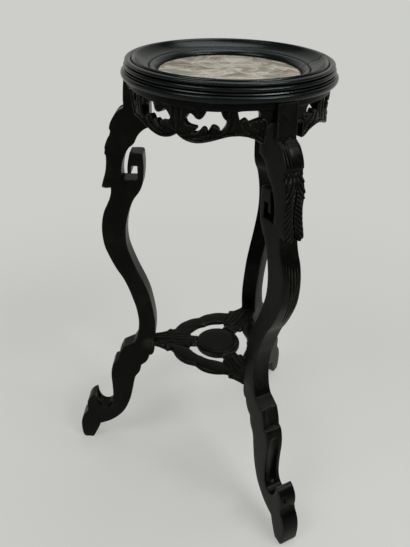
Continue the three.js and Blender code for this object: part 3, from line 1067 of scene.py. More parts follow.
APRON_EDGE: tuple[Run, ...] = (
    ((0, 767.5), (2, 763.6), (4.4, 760.4), (8, 758), (12, 757.8), (16.2, 760.1), (20.6, 763.8),
     (24.6, 767.6), (28.6, 770.6), (33.5, 771.6)),
    ((33.5, 771.6), (37.6, 769.9), (41.3, 766.6)),
    ((41.3, 766.6), (43.8, 761.8), (45.6, 759.6), (46.9, 759.4)),
    ((46.9, 759.4), (47.2, 766), (47.3, 774), (47.7, 780.6), (49, 785), (51.4, 787), (58, 787.6)),
)
# The cut-back end of the front apron.
APRON_SHORT_END: tuple[Run, ...] = (
    ((33.5, 771.6), (35.2, 771.8), (36.3, 774.4)),
    ((36.3, 774.4), (38.8, 784.6), (40.4, 794.6), (42, 801.6), (46, 804.6), (60, 805)),
)

APRON_OPENINGS: tuple[tuple[Run, ...], ...] = (
    (
        ((4.2, 789), (6.2, 796.4), (7.8, 798.8), (9.5, 796.2), (11.2, 792.6), (12.9, 792),
         (14.4, 794.6), (15.4, 798.8)),
        ((15.4, 798.8), (16.2, 803.8)),
        ((16.2, 803.8), (23.7, 804.3)),
        ((23.7, 804.3), (24.2, 800.3), (25.2, 795.6), (26.8, 792)),
        ((26.8, 792), (26.6, 787), (25.6, 781.5), (23.8, 775.5)),
        ((23.8, 775.5), (22.9, 780.7), (21.5, 783.4), (19.9, 784.4), (18.7, 783.2)),
        ((18.7, 783.2), (17.8, 779.4), (17.1, 774)),
        ((17.1, 774), (16.3, 778.7), (15, 781), (13.6, 779.8)),
        ((13.6, 779.8), (12.5, 775.6), (10.8, 772.8), (7.8, 772.6)),
        ((7.8, 772.6), (10.4, 775.4), (11.2, 778.4), (10.8, 781)),
        ((10.8, 781), (8.8, 781.4), (6.4, 782.6), (5, 785), (4.2, 789)),
    ),
    (
        ((32.2, 804.8), (35, 806), (42.7, 806.5)),
        ((42.7, 806.5), (44.2, 801), (44.4, 795)),
        ((44.4, 795), (41.6, 792.8), (38.3, 789.8)),
        ((38.3, 789.8), (37.6, 794), (36.4, 795.4)),
        ((36.4, 795.4), (35, 793.4), (33.6, 790.7)),
        ((33.6, 790.7), (32.9, 797), (32.2, 804.8)),
    ),
)


# Foliage on half an apron, in degrees from the middle of the pattern and heights.
APRON_RAISED: tuple[Stroke, ...] = (
    strand(((0, 808), (0.2, 796), (0, 784), (0, 770)), 7, 2.0, start=0.9, end=0.5, veins=3.4),
    strand(((3.6, 808), (3.0, 797), (3.4, 789)), 5, 1.8, start=0.9, end=0.4),
    strand(((12.3, 807), (12.3, 798.5)), 15, 2.0, start=1, end=1),
    leaf(((0.6, 769), (2.4, 777), (5.6, 783), (10.6, 780.6)), 10, 2.0, start=0.4, veins=2.9,
         lean=0.9),
    leaf(((1.6, 764.5), (6, 768.5), (11.5, 771.5), (14.9, 780.6)), 8.5, 2.0, start=0.4, veins=3.0,
         lean=1.0),
    leaf(((7, 761), (13.4, 764), (18.6, 770.5), (20.9, 784)), 11, 2.0, start=0.35, end=0.45,
         swell=0.75, veins=3.0, lean=1.0),
    strand(((13, 760.5), (20, 765.6), (24.8, 774), (27.4, 787), (27.6, 804)), 7.5, 2.0, start=0.3,
           end=0.8, swell=0.6, veins=3.6, lean=0.8),
    leaf(((31, 807), (30.8, 793), (29.4, 781), (25.8, 770.6)), 6.5, 1.9, start=0.8, end=0.35,
         veins=3.4),
    leaf(((52, 757.8), (43.6, 767.6), (36.4, 776), (33.7, 789.4)), 7.5, 2.0, start=0.4, end=0.4,
         swell=0.6, veins=3.0, lean=1.0),
    leaf(((53, 762), (45.4, 773), (39.8, 781.5), (38.2, 789.2)), 8, 2.0, start=0.4, end=0.35,
         swell=0.6, veins=3.0, lean=1.0),
    leaf(((53, 769), (47.4, 779.6), (43.6, 786), (41.2, 792.2)), 7.5, 2.0, start=0.4, end=0.35,
         swell=0.6, veins=3.0, lean=1.0),
    leaf(((48.6, 772), (46.6, 780), (44.6, 788.6)), 6, 2.0, start=0.5, end=0.7, veins=3.2),
    strand(((43.4, 790), (45.2, 793.2), (47.2, 791.4), (46.8, 787.6), (45, 787.4)), 3.6, 2.0,
           start=0.8, end=0.5),
    strand(((49, 761.6), (42, 769.6), (34.6, 774.6), (27.4, 772)), 5, 1.9, start=0.5, end=0.3,
           veins=3.4),
)
APRON_CUTS: tuple[Stroke, ...] = (
    gouge(((9.3, 803.6), (10.4, 797.8), (12.3, 795.6), (14.2, 797.8), (15.2, 803.6)), 1.8, 0.9,
          start=0.7, end=0.7),
    gouge(((10.6, 804), (11.2, 801), (12.3, 799.8), (13.4, 801), (13.9, 804)), 1.8, 0.9, start=0.7,
          end=0.7),
    vee(((4, 765.4), (10, 766.6), (15.4, 770.6), (17.4, 774)), 1.6, 0.7),
    vee(((10.6, 762), (17, 766), (21.8, 772), (23.6, 776.4)), 1.6, 0.7),
    gouge(((22.6, 804), (25.4, 805.4), (31.4, 805.6)), 1.4, 0.5),
)


@dataclass
class Apron:
    """A pierced and carved board bent round between two legs."""

    shifts: tuple[float, ...] = (2.8, 0.0, 0.0)
    outer: float = 160.0
    inner: float = 147.0
    top: float = 816.7
    leg_half: float = 17.2
    step: float = 1.2
    arris: float = 1.5
    sunk: float = 2.0
    rail: float = 807.5
    rail_slope: float = 1.6
    bead_at: float = 1.5
    bead_half: float = 1.9
    groove_at: float = 3.9
    groove_half: float = 0.8
    groove_deep: float = 0.9
    edge_step: float = 1.1
    side_step: float = 1.6
    opening_step: float = 1.0
    back_step: float = 4.5
    face_rings: tuple[float, ...] = (0.5, 1.1, 1.9)
    edge_rows: tuple[float, float] = (0.25, 0.6)
    corner_gap: float = 0.4
    narrow_from: float = 32.2
    narrow: float = 0.42
    grain_step: float = 700.0

    @property
    def per_degree(self) -> float:
        """Length of one degree along the face."""
        return math.radians(self.outer)

    def end_angle(self, radius: float) -> float:
        """Angle from the middle between the legs to the end of the board."""
        return LEG_PITCH / 2 - math.degrees(math.asin(self.leg_half / radius))

    def scaled(self, run: Run, mirror: bool = False) -> Run:
        """A run in degrees, as lengths along the face, mirrored if asked."""
        k = -self.per_degree if mirror else self.per_degree
        line = [(a * k, z) for a, z in run]
        return line[::-1] if mirror else line

    def loops(self, shift: float) -> Loops:
        """The outline and the openings, as lengths from the middle of the pattern.

        Args:
            shift: How far the pattern sits from the middle between the legs, in degrees.

        Returns:
            The outline and the openings, each with the material on its left.
        """
        end = self.end_angle(self.outer)
        right, left = (end - shift) * self.per_degree, (-end - shift) * self.per_degree
        short = (APRON_EDGE[0], *APRON_SHORT_END) if shift else APRON_EDGE
        edge = np.vstack([self.half_edge(short)[:0:-1] * (-1, 1), self.half_edge(APRON_EDGE)])
        low = [float(np.interp(x, edge[:, 0], edge[:, 1])) for x in (left, right)]
        clear = (edge[:, 0] > left + self.corner_gap) & (edge[:, 0] < right - self.corner_gap)
        corners = [(right, low[1]), (right, self.top), (left, self.top), (left, low[0])]
        sides = closed_line(list(zip(corners, corners[1:])), [self.side_step] * 3)
        loops = [np.vstack([corners[-1:], edge[clear], sides])]
        for runs in APRON_OPENINGS:
            for mirror in (False, True):
                if mirror and shift and runs is APRON_OPENINGS[1]:
                    runs = self.narrowed(runs)
                made = [self.scaled(run, mirror) for run in (runs[::-1] if mirror else runs)]
                loops.append(wound(closed_line(made, [self.opening_step] * len(made)), False))
        return loops

    def half_edge(self, runs: Sequence[Run]) -> np.ndarray:
        """Half of the lower edge, from the middle of the pattern to the end."""
        made = [self.scaled(run) for run in runs]
        line = closed_line(made, [self.edge_step] * len(made))
        return np.vstack([line, made[-1][-1:]])

    def narrowed(self, runs: Sequence[Run]) -> Sequence[Run]:
        """An opening drawn in towards the middle of the pattern."""
        at, k = self.narrow_from, self.narrow
        return tuple(tuple((at + k * (a - at), z) for a, z in run) for run in runs)

    def placed(self, points: np.ndarray, depth: np.ndarray, shift: float) -> np.ndarray:
        """Puts points of the face at a depth behind it, about angle zero.

        Args:
            points: Lengths from the middle of the pattern, and heights.
            depth: Depth of each behind the face.
            shift: How far the pattern sits from the middle, in degrees.

        Returns:
            The places.
        """
        squeeze = self.end_angle(self.inner) / self.end_angle(self.outer) - 1
        turn = points[:, 0] / self.per_degree + shift
        turn = turn * (1 + squeeze * depth / (self.outer - self.inner))
        angle = np.radians(turn)
        radius = self.outer - depth
        return np.column_stack([radius * np.cos(angle), radius * np.sin(angle), points[:, 1]])

    def form(self, shift: float) -> Shell:
        """The board with its carving, about angle zero."""
        loops = self.loops(shift)
        face = sheet_of(loops, self.step, self.face_rings)
        level = self.carved(face[0], loops) + rounded_edge(face[0], loops, self.arris)

        def placed(points: np.ndarray, depth: np.ndarray) -> tuple[np.ndarray, np.ndarray]:
            """Places and grain of points at a depth."""
            return self.placed(points, depth, shift), np.column_stack([points, -depth])

        thick = self.outer - self.inner
        return Board(loops, face, level, thick, self.back_step, self.edge_rows, placed).form()

    def carved(self, points: np.ndarray, loops: Loops) -> np.ndarray:
        """Level of the carved face.

        Args:
            points: Lengths from the middle of the pattern, and heights.
            loops: The outline and the openings.

        Returns:
            The level at each point, 0 on the plain rail.
        """
        ground = -self.sunk * np.clip((self.rail - points[:, 1]) / self.rail_slope, 0, 1)
        level = self.relief().lift(points, ground)
        ahead = np.append(np.diff(loops[0][:, 0]) <= 0, True)
        edge = loops[0][: int(np.argmax(ahead)) + 1]
        gap, _ = nearest_on(points, [np.vstack([edge, edge[::-1]])])
        bead = np.sqrt(np.clip(1 - ((gap - self.bead_at) / self.bead_half) ** 2, 0, 1))
        beaded = np.maximum(level, ground + self.sunk * bead)
        level = np.where(gap < self.bead_at + self.bead_half, beaded, level)
        groove = np.exp(-(((gap - self.groove_at) / self.groove_half) ** 2))
        return level - self.groove_deep * groove

    def relief(self) -> Relief:
        """The foliage on the face, the same on both halves."""
        k = self.per_degree
        raised, cuts = [], []
        for side in (1, -1):
            for into, strokes in ((raised, APRON_RAISED), (cuts, APRON_CUTS)):
                for stroke in strokes:
                    line = tuple((side * a * k, z) for a, z in stroke.line)
                    into.append(replace(stroke, line=line))
        return Relief(-self.sunk, tuple(raised), tuple(cuts))

    def build(self) -> list[bpy.types.Object]:
        """Makes the three aprons."""
        forms = {shift: self.form(shift) for shift in sorted(set(self.shifts))}
        pieces = []
        for k, shift in enumerate(self.shifts):
            shell = forms[shift].turned(leg_angle(k) + LEG_PITCH / 2, self.grain_step * k)
            pieces.append(shell.build(f"carved_apron_{k + 1}"))
        return pieces


# The legs -------------------------------------------------------------------------


LEG_RUNS: tuple[Run, ...] = (
    ((165.5, 816.7), (168, 790), (169.2, 765)),
    ((169.2, 765), (173, 762.5), (179, 759), (186.3, 750), (192.2, 739), (194.4, 728.6),
     (194, 719)),
    ((194, 719), (199.5, 711), (203.7, 699), (204.8, 688), (204.2, 673), (204.9, 663), (207.4, 650),
     (211.9, 636), (215.4, 623)),
    ((215.4, 623), (210, 621), (198, 622)),
    ((198, 622), (198.4, 617), (201, 606), (205.8, 593.6), (212.6, 580), (217.4, 562),
     (219.6, 543.8), (219.1, 524.4), (216.8, 508), (212.3, 493.4), (203.3, 471), (195, 454),
     (186.3, 438.8), (176.8, 415), (169.9, 392), (165.4, 376), (162.2, 358.3), (160.4, 340),
     (161, 324), (163.5, 308), (168, 291), (174, 280)),
    ((174, 280), (185.5, 273.8), (197.3, 267)),
    ((197.3, 267), (203, 254.5), (207.3, 242), (209.5, 231.5)),
    ((209.5, 231.5), (215.8, 228.5), (220.5, 219), (223.6, 207), (225.3, 189.4), (224.8, 164),
     (224.8, 140), (226.3, 120), (230.3, 106), (236.8, 97.6), (245, 95), (252.3, 97), (258, 103),
     (262, 114), (264, 131)),
    ((264, 131), (271.5, 127), (278.6, 119.5), (283.4, 110), (285, 99), (284.6, 87)),
    ((284.6, 87), (288, 78.5), (294, 70.5), (299.3, 60), (302.6, 46), (303.59, 31), (302.8, 13)),
    ((302.8, 13), (300.6, 4.5), (297, 0)),
    ((297, 0), (279, 0)),
    ((279, 0), (273.5, 9.5), (268, 21.5), (262.7, 34), (259, 44.5)),
    ((259, 44.5), (249, 48), (232.7, 56.5), (217.3, 69.5), (203.7, 86.2), (193.9, 106.5),
     (186.4, 128.5), (180.3, 157), (175.4, 183), (172.4, 191.5)),
    ((172.4, 191.5), (164.6, 203), (161.2, 214), (159.7, 222.5)),
    ((159.7, 222.5), (149.8, 231), (144.2, 241), (141.4, 250.5)),
    ((141.4, 250.5), (135.5, 253), (132, 260), (130.5, 269)),
    ((130.5, 269), (130.5, 291)),
    ((130.5, 291), (128.3, 305), (127.2, 323), (127.6, 341), (129.7, 360), (133.6, 383),
     (138, 403.6), (146.4, 428), (158.7, 457.4), (170.2, 490), (174.9, 508), (176.5, 525),
     (175.8, 545), (173, 562), (168.3, 580), (158.8, 603.8), (148.2, 619), (142.4, 632),
     (139.8, 648), (138.8, 665), (139.4, 684)),
    ((139.4, 684), (140.6, 688), (145, 689.3), (162.3, 688.8)),
    ((162.3, 688.8), (164.8, 678), (167, 664), (167.4, 652.6)),
    ((167.4, 652.6), (161.4, 652.2)),
    ((161.4, 652.2), (160.6, 666.4)),
    ((160.6, 666.4), (150, 666.4)),
    ((150, 666.4), (150, 640.5)),
    ((150, 640.5), (177.4, 640.5)),
    ((177.4, 640.5), (177.6, 654), (176, 667), (172.6, 679.5), (167.6, 690.5), (162.3, 698.6),
     (157, 703)),
    ((157, 703), (153.2, 707), (150.6, 712.8), (146.2, 720.8), (138.4, 728.8), (130.2, 733.6),
     (126, 734.5)),
    ((126, 734.5), (126, 807.7)),
    ((126, 807.7), (146.3, 807.7)),
    ((146.3, 807.7), (146.3, 816.7)),
    ((146.3, 816.7), (165.5, 816.7)),
)

LEG_STEPS: tuple[float, ...] = (
    1.5, 1.0, 0.9, 1.1, 1.6, 2.0, 2.2, 2.2, 2.0, 2.2, 2.0, 4.0, 2.2, 2.6, 2.2, 2.2, 2.2, 4.0, 3.4,
    1.8, 2.0, 2.0, 2.0, 2.0, 2.4, 2.4, 1.8, 1.8, 5.0, 5.0, 4.0, 5.0,
)

# The runs that are carved, by their places in the outline.
POST_RUN, KNEE_RUN, FRINGE_RUN, TIP_RUN, SHIN_RUN = range(5)
STEP_RUN, CALF_RUN, HOOK_RUN, TOE_RUN = range(6, 10)


# Carving on a leg's outer face, in lengths from its middle and heights.
LEG_UPPER = Relief(
    0.0,
    raised=(
        strand(((-9, 722), (-13, 716.5), (-17, 711)), 7, 2.3, start=0.6, end=0.5),
        strand(((-3, 722), (-8, 711), (-13, 702), (-17.5, 694)), 6.4, 2.3, start=0.5, end=0.4),
        strand(((0, 721), (-2.6, 708), (-7.4, 699), (-12.5, 691), (-17, 686)), 5.6, 2.3, start=0.5,
               end=0.4),
        strand(((9, 722), (13, 716.5), (17, 711)), 7, 2.3, start=0.6, end=0.5),
        strand(((4, 722), (8.6, 711), (13.4, 702), (17.5, 695)), 6.4, 2.3, start=0.5, end=0.4),
        strand(((1.5, 721), (4, 708), (8.4, 699), (13, 691), (17, 686)), 5.6, 2.3, start=0.5,
               end=0.4),
        strand(((0.4, 720), (0.6, 708), (0.8, 698)), 5, 2.3, start=0.7, end=0.3),
        strand(((-0.6, 704), (-4.4, 692), (-7.4, 674), (-8.4, 650), (-8.3, 622)), 17, 2.3,
               start=0.2, end=0.95, swell=0.45, veins=8.6, lean=-0.95, vein_depth=0.9,
               folded=False),
        strand(((1.8, 704), (5, 692), (7.6, 674), (8.5, 650), (8.3, 622)), 17, 2.3, start=0.2,
               end=0.95, swell=0.45, veins=7.6, lean=0.95, vein_depth=0.8, folded=False),
    ),
    cuts=(
        gouge(((-17, 768.4), (17, 768.4)), 3.0, 0.9, start=1, end=1),
        gouge(((-13.4, 762), (-13.6, 747), (-12.6, 734)), 3.4, 1.6, start=0.6, end=0.6),
        gouge(((-8.2, 764), (-9.2, 752), (-8.2, 742), (-6.4, 733)), 4.4, 2.1, start=0.7, end=0.5),
        gouge(((-3.4, 764), (-3.8, 750), (-1.8, 734)), 7, 0.8, start=0.8, end=0.6),
        gouge(((13.6, 762), (14, 748), (13, 734)), 4.6, 1.7, start=0.6, end=0.6),
        gouge(((9.2, 748), (10, 740), (9.6, 733)), 3.0, 1.1),
        gouge(((-17, 725.4), (17, 725.4)), 9.5, 1.9, start=1, end=1),
        vee(((-17, 728.2), (17, 728.2)), 1.3, 0.5, start=1, end=1),
        gouge(((0.8, 699), (0.4, 680), (-0.2, 655), (0, 624)), 3.2, 1.6, start=0.4, end=1),
        vee(((-12.6, 700), (-9.4, 708), (-7, 716)), 1.5, 0.8),
        vee(((12.8, 701), (9.8, 708), (7.4, 716)), 1.5, 0.8),
        gouge(((-15.5, 794), (-8, 785.5), (-1, 776.5), (4, 769)), 9, 0.9, start=0.7, end=0.8),
        gouge(((-10, 804), (0, 793.5), (8, 783), (15, 773)), 7, 0.6, start=0.6, end=0.8),
        gouge(((1.5, 808.6), (11.5, 808.6)), 1.8, 0.8, start=0.6, end=0.6),
        vee(((-4, 640), (-6.4, 634), (-8.6, 629)), 1.6, 0.7),
        gouge(((4.8, 644), (6, 638), (5.4, 632)), 2.6, 1.0, start=0.8, end=0.6),
        gouge(((11.4, 643), (12, 638), (11.4, 633)), 2.6, 1.0, start=0.8, end=0.6),
    ),
)
LEG_SHIN = Relief(
    0.0,
    cuts=(
        gouge(((2.6, 592), (2.8, 583)), 2.6, 1.1),
        gouge(((-12.6, 584), (-12, 572)), 3.2, 1.4),
        gouge(((-8, 584), (-7.6, 570), (-7, 556)), 3.0, 1.6, start=0.4),
        gouge(((-3, 582), (-2.6, 560), (-2.4, 540), (-1, 518)), 3.6, 2.3, start=0.4),
        gouge(((2.4, 580), (3.4, 560), (3.8, 545), (4.6, 526)), 3.6, 2.3, start=0.4),
        gouge(((7.8, 577), (8.6, 562), (9, 544)), 3.2, 2.0, start=0.4),
        gouge(((12.4, 574), (12.8, 560)), 2.6, 1.3, start=0.4),
        gouge(((0, 512), (1.4, 490), (3, 466)), 3.0, 1.8, start=0.3),
        gouge(((5.4, 520), (6.6, 494), (7.8, 462)), 3.2, 2.0, start=0.3),
        gouge(((10.4, 530), (11, 506), (12, 482)), 2.8, 1.5, start=0.3),
        gouge(((-13.6, 309), (-13, 297), (-12, 284)), 3.0, 1.3),
        gouge(((-7.6, 311), (-7.4, 299), (-6.6, 285)), 3.0, 1.3),
        gouge(((-1.6, 306), (-1.6, 297), (-1, 286)), 2.6, 1.1),
        gouge(((5, 302), (5.2, 294), (5.4, 286)), 2.4, 0.9),
    ),
)
LEG_HOLLOW = Relief(
    0.0,
    cuts=(
        gouge(((1, 256.5), (1, 243.5)), 25, 3.4, start=1, end=1),
        gouge(((-1.5, 203), (-1.5, 112)), 24, 4.0, start=0.9, end=0.9, swell=0.4),
    ),
)
LEG_TOE = Relief(
    0.0,
    cuts=(gouge(((-8.6, 112), (-7.4, 106)), 8, 3.2, start=0.9, end=0.9),),
)
LEG_RELIEFS: tuple[tuple[tuple[int, ...], Relief, float], ...] = (
    ((POST_RUN, KNEE_RUN, FRINGE_RUN), LEG_UPPER, 2.3),
    ((SHIN_RUN,), LEG_SHIN, 0.0),
    ((STEP_RUN, CALF_RUN), LEG_HOLLOW, 0.0),
    ((HOOK_RUN, TOE_RUN), LEG_TOE, 0.0),
)


@dataclass
class Leg:
    """A sawn leg with a carved outer face and two hanging fringes of leaf."""

    half: float = 16.9
    arris: float = 1.5
    arris_bends: tuple[float, ...] = (90, 65, 42, 20)
    columns: int = 33
    peg_at: tuple[float, float] = (139.0, 281.65)
    peg_radius: float = 1.95
    hole_steps: int = 20
    side_step: float = 9.0
    tip_at: float = 8.3
    tip_rise: float = 10.0
    tip_fade: float = 38.0
    tip_curve: float = 1.4
    fade_curve: float = 1.5
    beyond_tips: float = 0.45
    leaf_top: float = 720.0
    leaf_slope: float = 3.0
    scroll_start: float = 290.0
    grain_step: float = 900.0

    def rows(self) -> tuple[np.ndarray, np.ndarray]:
        """The side outline, anticlockwise, and the run that each point belongs to."""
        parts = [evenly(run, step)[:-1] for run, step in zip(LEG_RUNS, LEG_STEPS)]
        runs = np.concatenate([np.full(len(part), i) for i, part in enumerate(parts)])
        return np.vstack(parts)[::-1], runs[::-1]

    def stations(self) -> tuple[np.ndarray, np.ndarray]:
        """Places across the board's thickness, and how far the arris has turned in at each."""
        bend = np.radians(self.arris_bends)
        out = self.half - self.arris + self.arris * np.sin(bend)
        turn = self.arris * (1 - np.cos(bend))
        middle = np.linspace(-1, 1, self.columns) * (self.half - self.arris)
        across = np.concatenate([-out, middle, out[::-1]])
        return across, np.concatenate([turn, np.zeros(self.columns), turn[::-1]])

    def form(self) -> Shell:
        """The leg with its carving, about angle zero."""
        line, runs = self.rows()
        across, turn = self.stations()
        n, m = len(line), len(across)
        normal = into_material(line)
        normal /= np.linalg.norm(normal, axis=1, keepdims=True)
        radius = np.repeat(line[:, 0:1], m, axis=1)
        height = np.repeat(line[:, 1:2], m, axis=1)
        for amount in sorted(set(turn) - {0.0}):
            columns = np.flatnonzero(turn == amount)
            moved = inset(line, [line], amount)
            radius[:, columns] = moved[:, 0:1]
            height[:, columns] = moved[:, 1:2]
        self.hang_tips(radius, height, across, runs)
        self.carve(radius, height, across, normal, runs)
        shell = Shell()
        t = np.repeat(across[None, :], n, axis=0)
        places = np.column_stack([radius.ravel(), t.ravel(), height.ravel()])
        shell.add(places, np.column_stack([height.ravel(), radius.ravel(), t.ravel()]))
        index = np.arange(n * m).reshape(n, m)
        for j in range(m - 1):
            shell.strip(index[:, j].tolist(), index[:, j + 1].tolist())
        self.close_sides(shell, np.column_stack([radius[:, 0], height[:, 0]]), index)
        return shell

    def build(self) -> list[bpy.types.Object]:
        """Makes the three legs."""
        form = self.form()
        return [form.turned(leg_angle(k), self.grain_step * k).build(f"carved_leg_{k + 1}")
                for k in range(LEG_COUNT)]

    def close_sides(self, shell: Shell, line: np.ndarray, index: np.ndarray) -> None:
        """Adds the two flat sides and the peg's hole between them.

        Args:
            shell: The leg so far.
            line: The outline of the flat part of a side.
            index: Indices of the band's points, one row for each outline point.
        """
        angle = np.linspace(0, -2 * math.pi, self.hole_steps, endpoint=False)
        round_line = np.column_stack([np.cos(angle), np.sin(angle)])
        hole = np.asarray(self.peg_at) + self.peg_radius * round_line
        sheet, faces = sheet_of([line, hole], self.side_step, ())
        n = len(line)
        rims = []
        for side, column in ((-self.half, 0), (self.half, -1)):
            extra = sheet[n:]
            places = np.column_stack([extra[:, 0], np.full(len(extra), side), extra[:, 1]])
            start = shell.add(places, places[:, [2, 0, 1]])
            link = [*index[:, column].tolist(), *range(start, start + len(extra))]
            shell.faces += [tuple(link[i] for i in face) for face in faces]
            rims.append(link[n : n + len(hole)])
        shell.strip(rims[0], rims[1])

    def hang_tips(self, radius: np.ndarray, height: np.ndarray, across: np.ndarray,
                  runs: np.ndarray) -> None:
        """Draws the lower edge of the hanging leaf up into two tips.

        Args:
            radius: Radius of each point, changed in place.
            height: Height of each point, changed in place.
            across: Place of each column across the board.
            runs: The run that each row belongs to.
        """
        wave = np.abs(np.cos(math.pi * across / (2 * self.tip_at)))
        rise = self.tip_rise * wave**self.tip_curve
        rise *= np.where(np.abs(across) > self.tip_at, self.beyond_tips, 1.0)
        face = evenly(LEG_RUNS[FRINGE_RUN], 0.5)[::-1]
        low, root = LEG_RUNS[TIP_RUN][0], LEG_RUNS[TIP_RUN][-1]
        for j, lifted in enumerate(rise):
            rows = runs == FRINGE_RUN
            z = height[rows, j]
            turn_in = np.interp(z, face[:, 1], face[:, 0]) - radius[rows, j]
            share = np.clip((low[1] + self.tip_fade - z) / self.tip_fade, 0, 1) ** self.fade_curve
            raised = z + lifted * share
            radius[rows, j] = np.interp(raised, face[:, 1], face[:, 0]) - turn_in
            height[rows, j] = raised
            rows = runs == TIP_RUN
            edge = np.interp(low[1] + lifted, face[:, 1], face[:, 0])
            reach = (edge - root[0]) / (low[0] - root[0])
            radius[rows, j] = root[0] + (radius[rows, j] - root[0]) * reach
            height[rows, j] += lifted
        corner = np.flatnonzero(runs == SHIN_RUN)[-1]
        height[corner] += rise

    def carve(self, radius: np.ndarray, height: np.ndarray, across: np.ndarray,
              normal: np.ndarray, runs: np.ndarray) -> None:
        """Cuts the carving into the outer face.

        Args:
            radius: Radius of each point, changed in place.
            height: Height of each point, changed in place.
            across: Place of each column across the board.
            normal: Direction into the wood at each row.
            runs: The run that each row belongs to.
        """
        tip = runs == TIP_RUN
        for wanted, relief, sunk in LEG_RELIEFS:
            rows = np.flatnonzero(np.isin(runs, wanted) & (radius[:, 0] < self.scroll_start))
            t = np.repeat(across[None, :], len(rows), axis=0)
            points = np.column_stack([t.ravel(), height[rows].ravel()])
            ground = -sunk * np.clip((self.leaf_top - points[:, 1]) / self.leaf_slope, 0, 1)
            level = relief.lift(points, ground).reshape(t.shape)
            radius[rows] -= level * normal[rows, 0:1]
            height[rows] -= level * normal[rows, 1:2]
            if FRINGE_RUN in wanted:
                last = level[np.argmin(np.abs(height[rows].mean(axis=1) - LEG_RUNS[TIP_RUN][0][1]))]
                root, edge = LEG_RUNS[TIP_RUN][-1][0], LEG_RUNS[TIP_RUN][0][0]
                radius[tip] += last * np.clip((radius[tip] - root) / (edge - root), 0, 1)


# The stretcher --------------------------------------------------------------------


def arm_relief() -> Relief:
    """The leaf on an arm's upper face, in plan, the same on both sides of its middle."""
    raised = [
        strand(((131, 0), (112, 0), (84, 0), (57, 0)), 13, 2.4, start=0.9, end=0.5, swell=0.4,
               veins=4.2, lean=1.0),
        strand(((49, 0), (56, 0)), 24, 1.2, start=1, end=1),
    ]
    cuts = [gouge(((57, -16), (56.6, 0), (57, 16)), 2.2, 1.0, start=1, end=1)]
    for side in (1, -1):
        raised += [
            leaf(((131, 8 * side), (110, 9.4 * side), (84, 9.6 * side), (59, 10 * side)), 9, 2.3,
                 start=0.7, end=0.5, veins=3.6, lean=1.0),
            leaf(((131, 14 * side), (116, 17 * side), (104, 22 * side), (95, 29 * side)), 10, 2.3,
                 start=0.5, end=0.4, swell=0.5, veins=3.2, lean=1.0),
            leaf(((112, 14 * side), (98, 17.6 * side), (80, 17.6 * side), (62, 18 * side)), 8.6,
                 2.3, start=0.3, end=0.5, swell=0.6, veins=3.4, lean=1.0),
            strand(((106, 22 * side), (102, 28 * side), (100.5, 32 * side)), 7, 2.2, start=0.4,
                   end=0.6),
            strand(((96, 26 * side), (84, 34 * side), (72, 42 * side), (60, 49 * side),
                    (46, 62 * side), (34, 72 * side)), 34, 2.4, start=0.5, end=1, swell=0.3),
        ]
        cuts += [
            vee(((102, 20 * side), (92, 25 * side), (84, 28 * side)), 1.8, 0.9),
            vee(((99, 24 * side), (90, 29 * side)), 1.6, 0.8),
        ]
    return Relief(-2.4, tuple(raised), tuple(cuts))


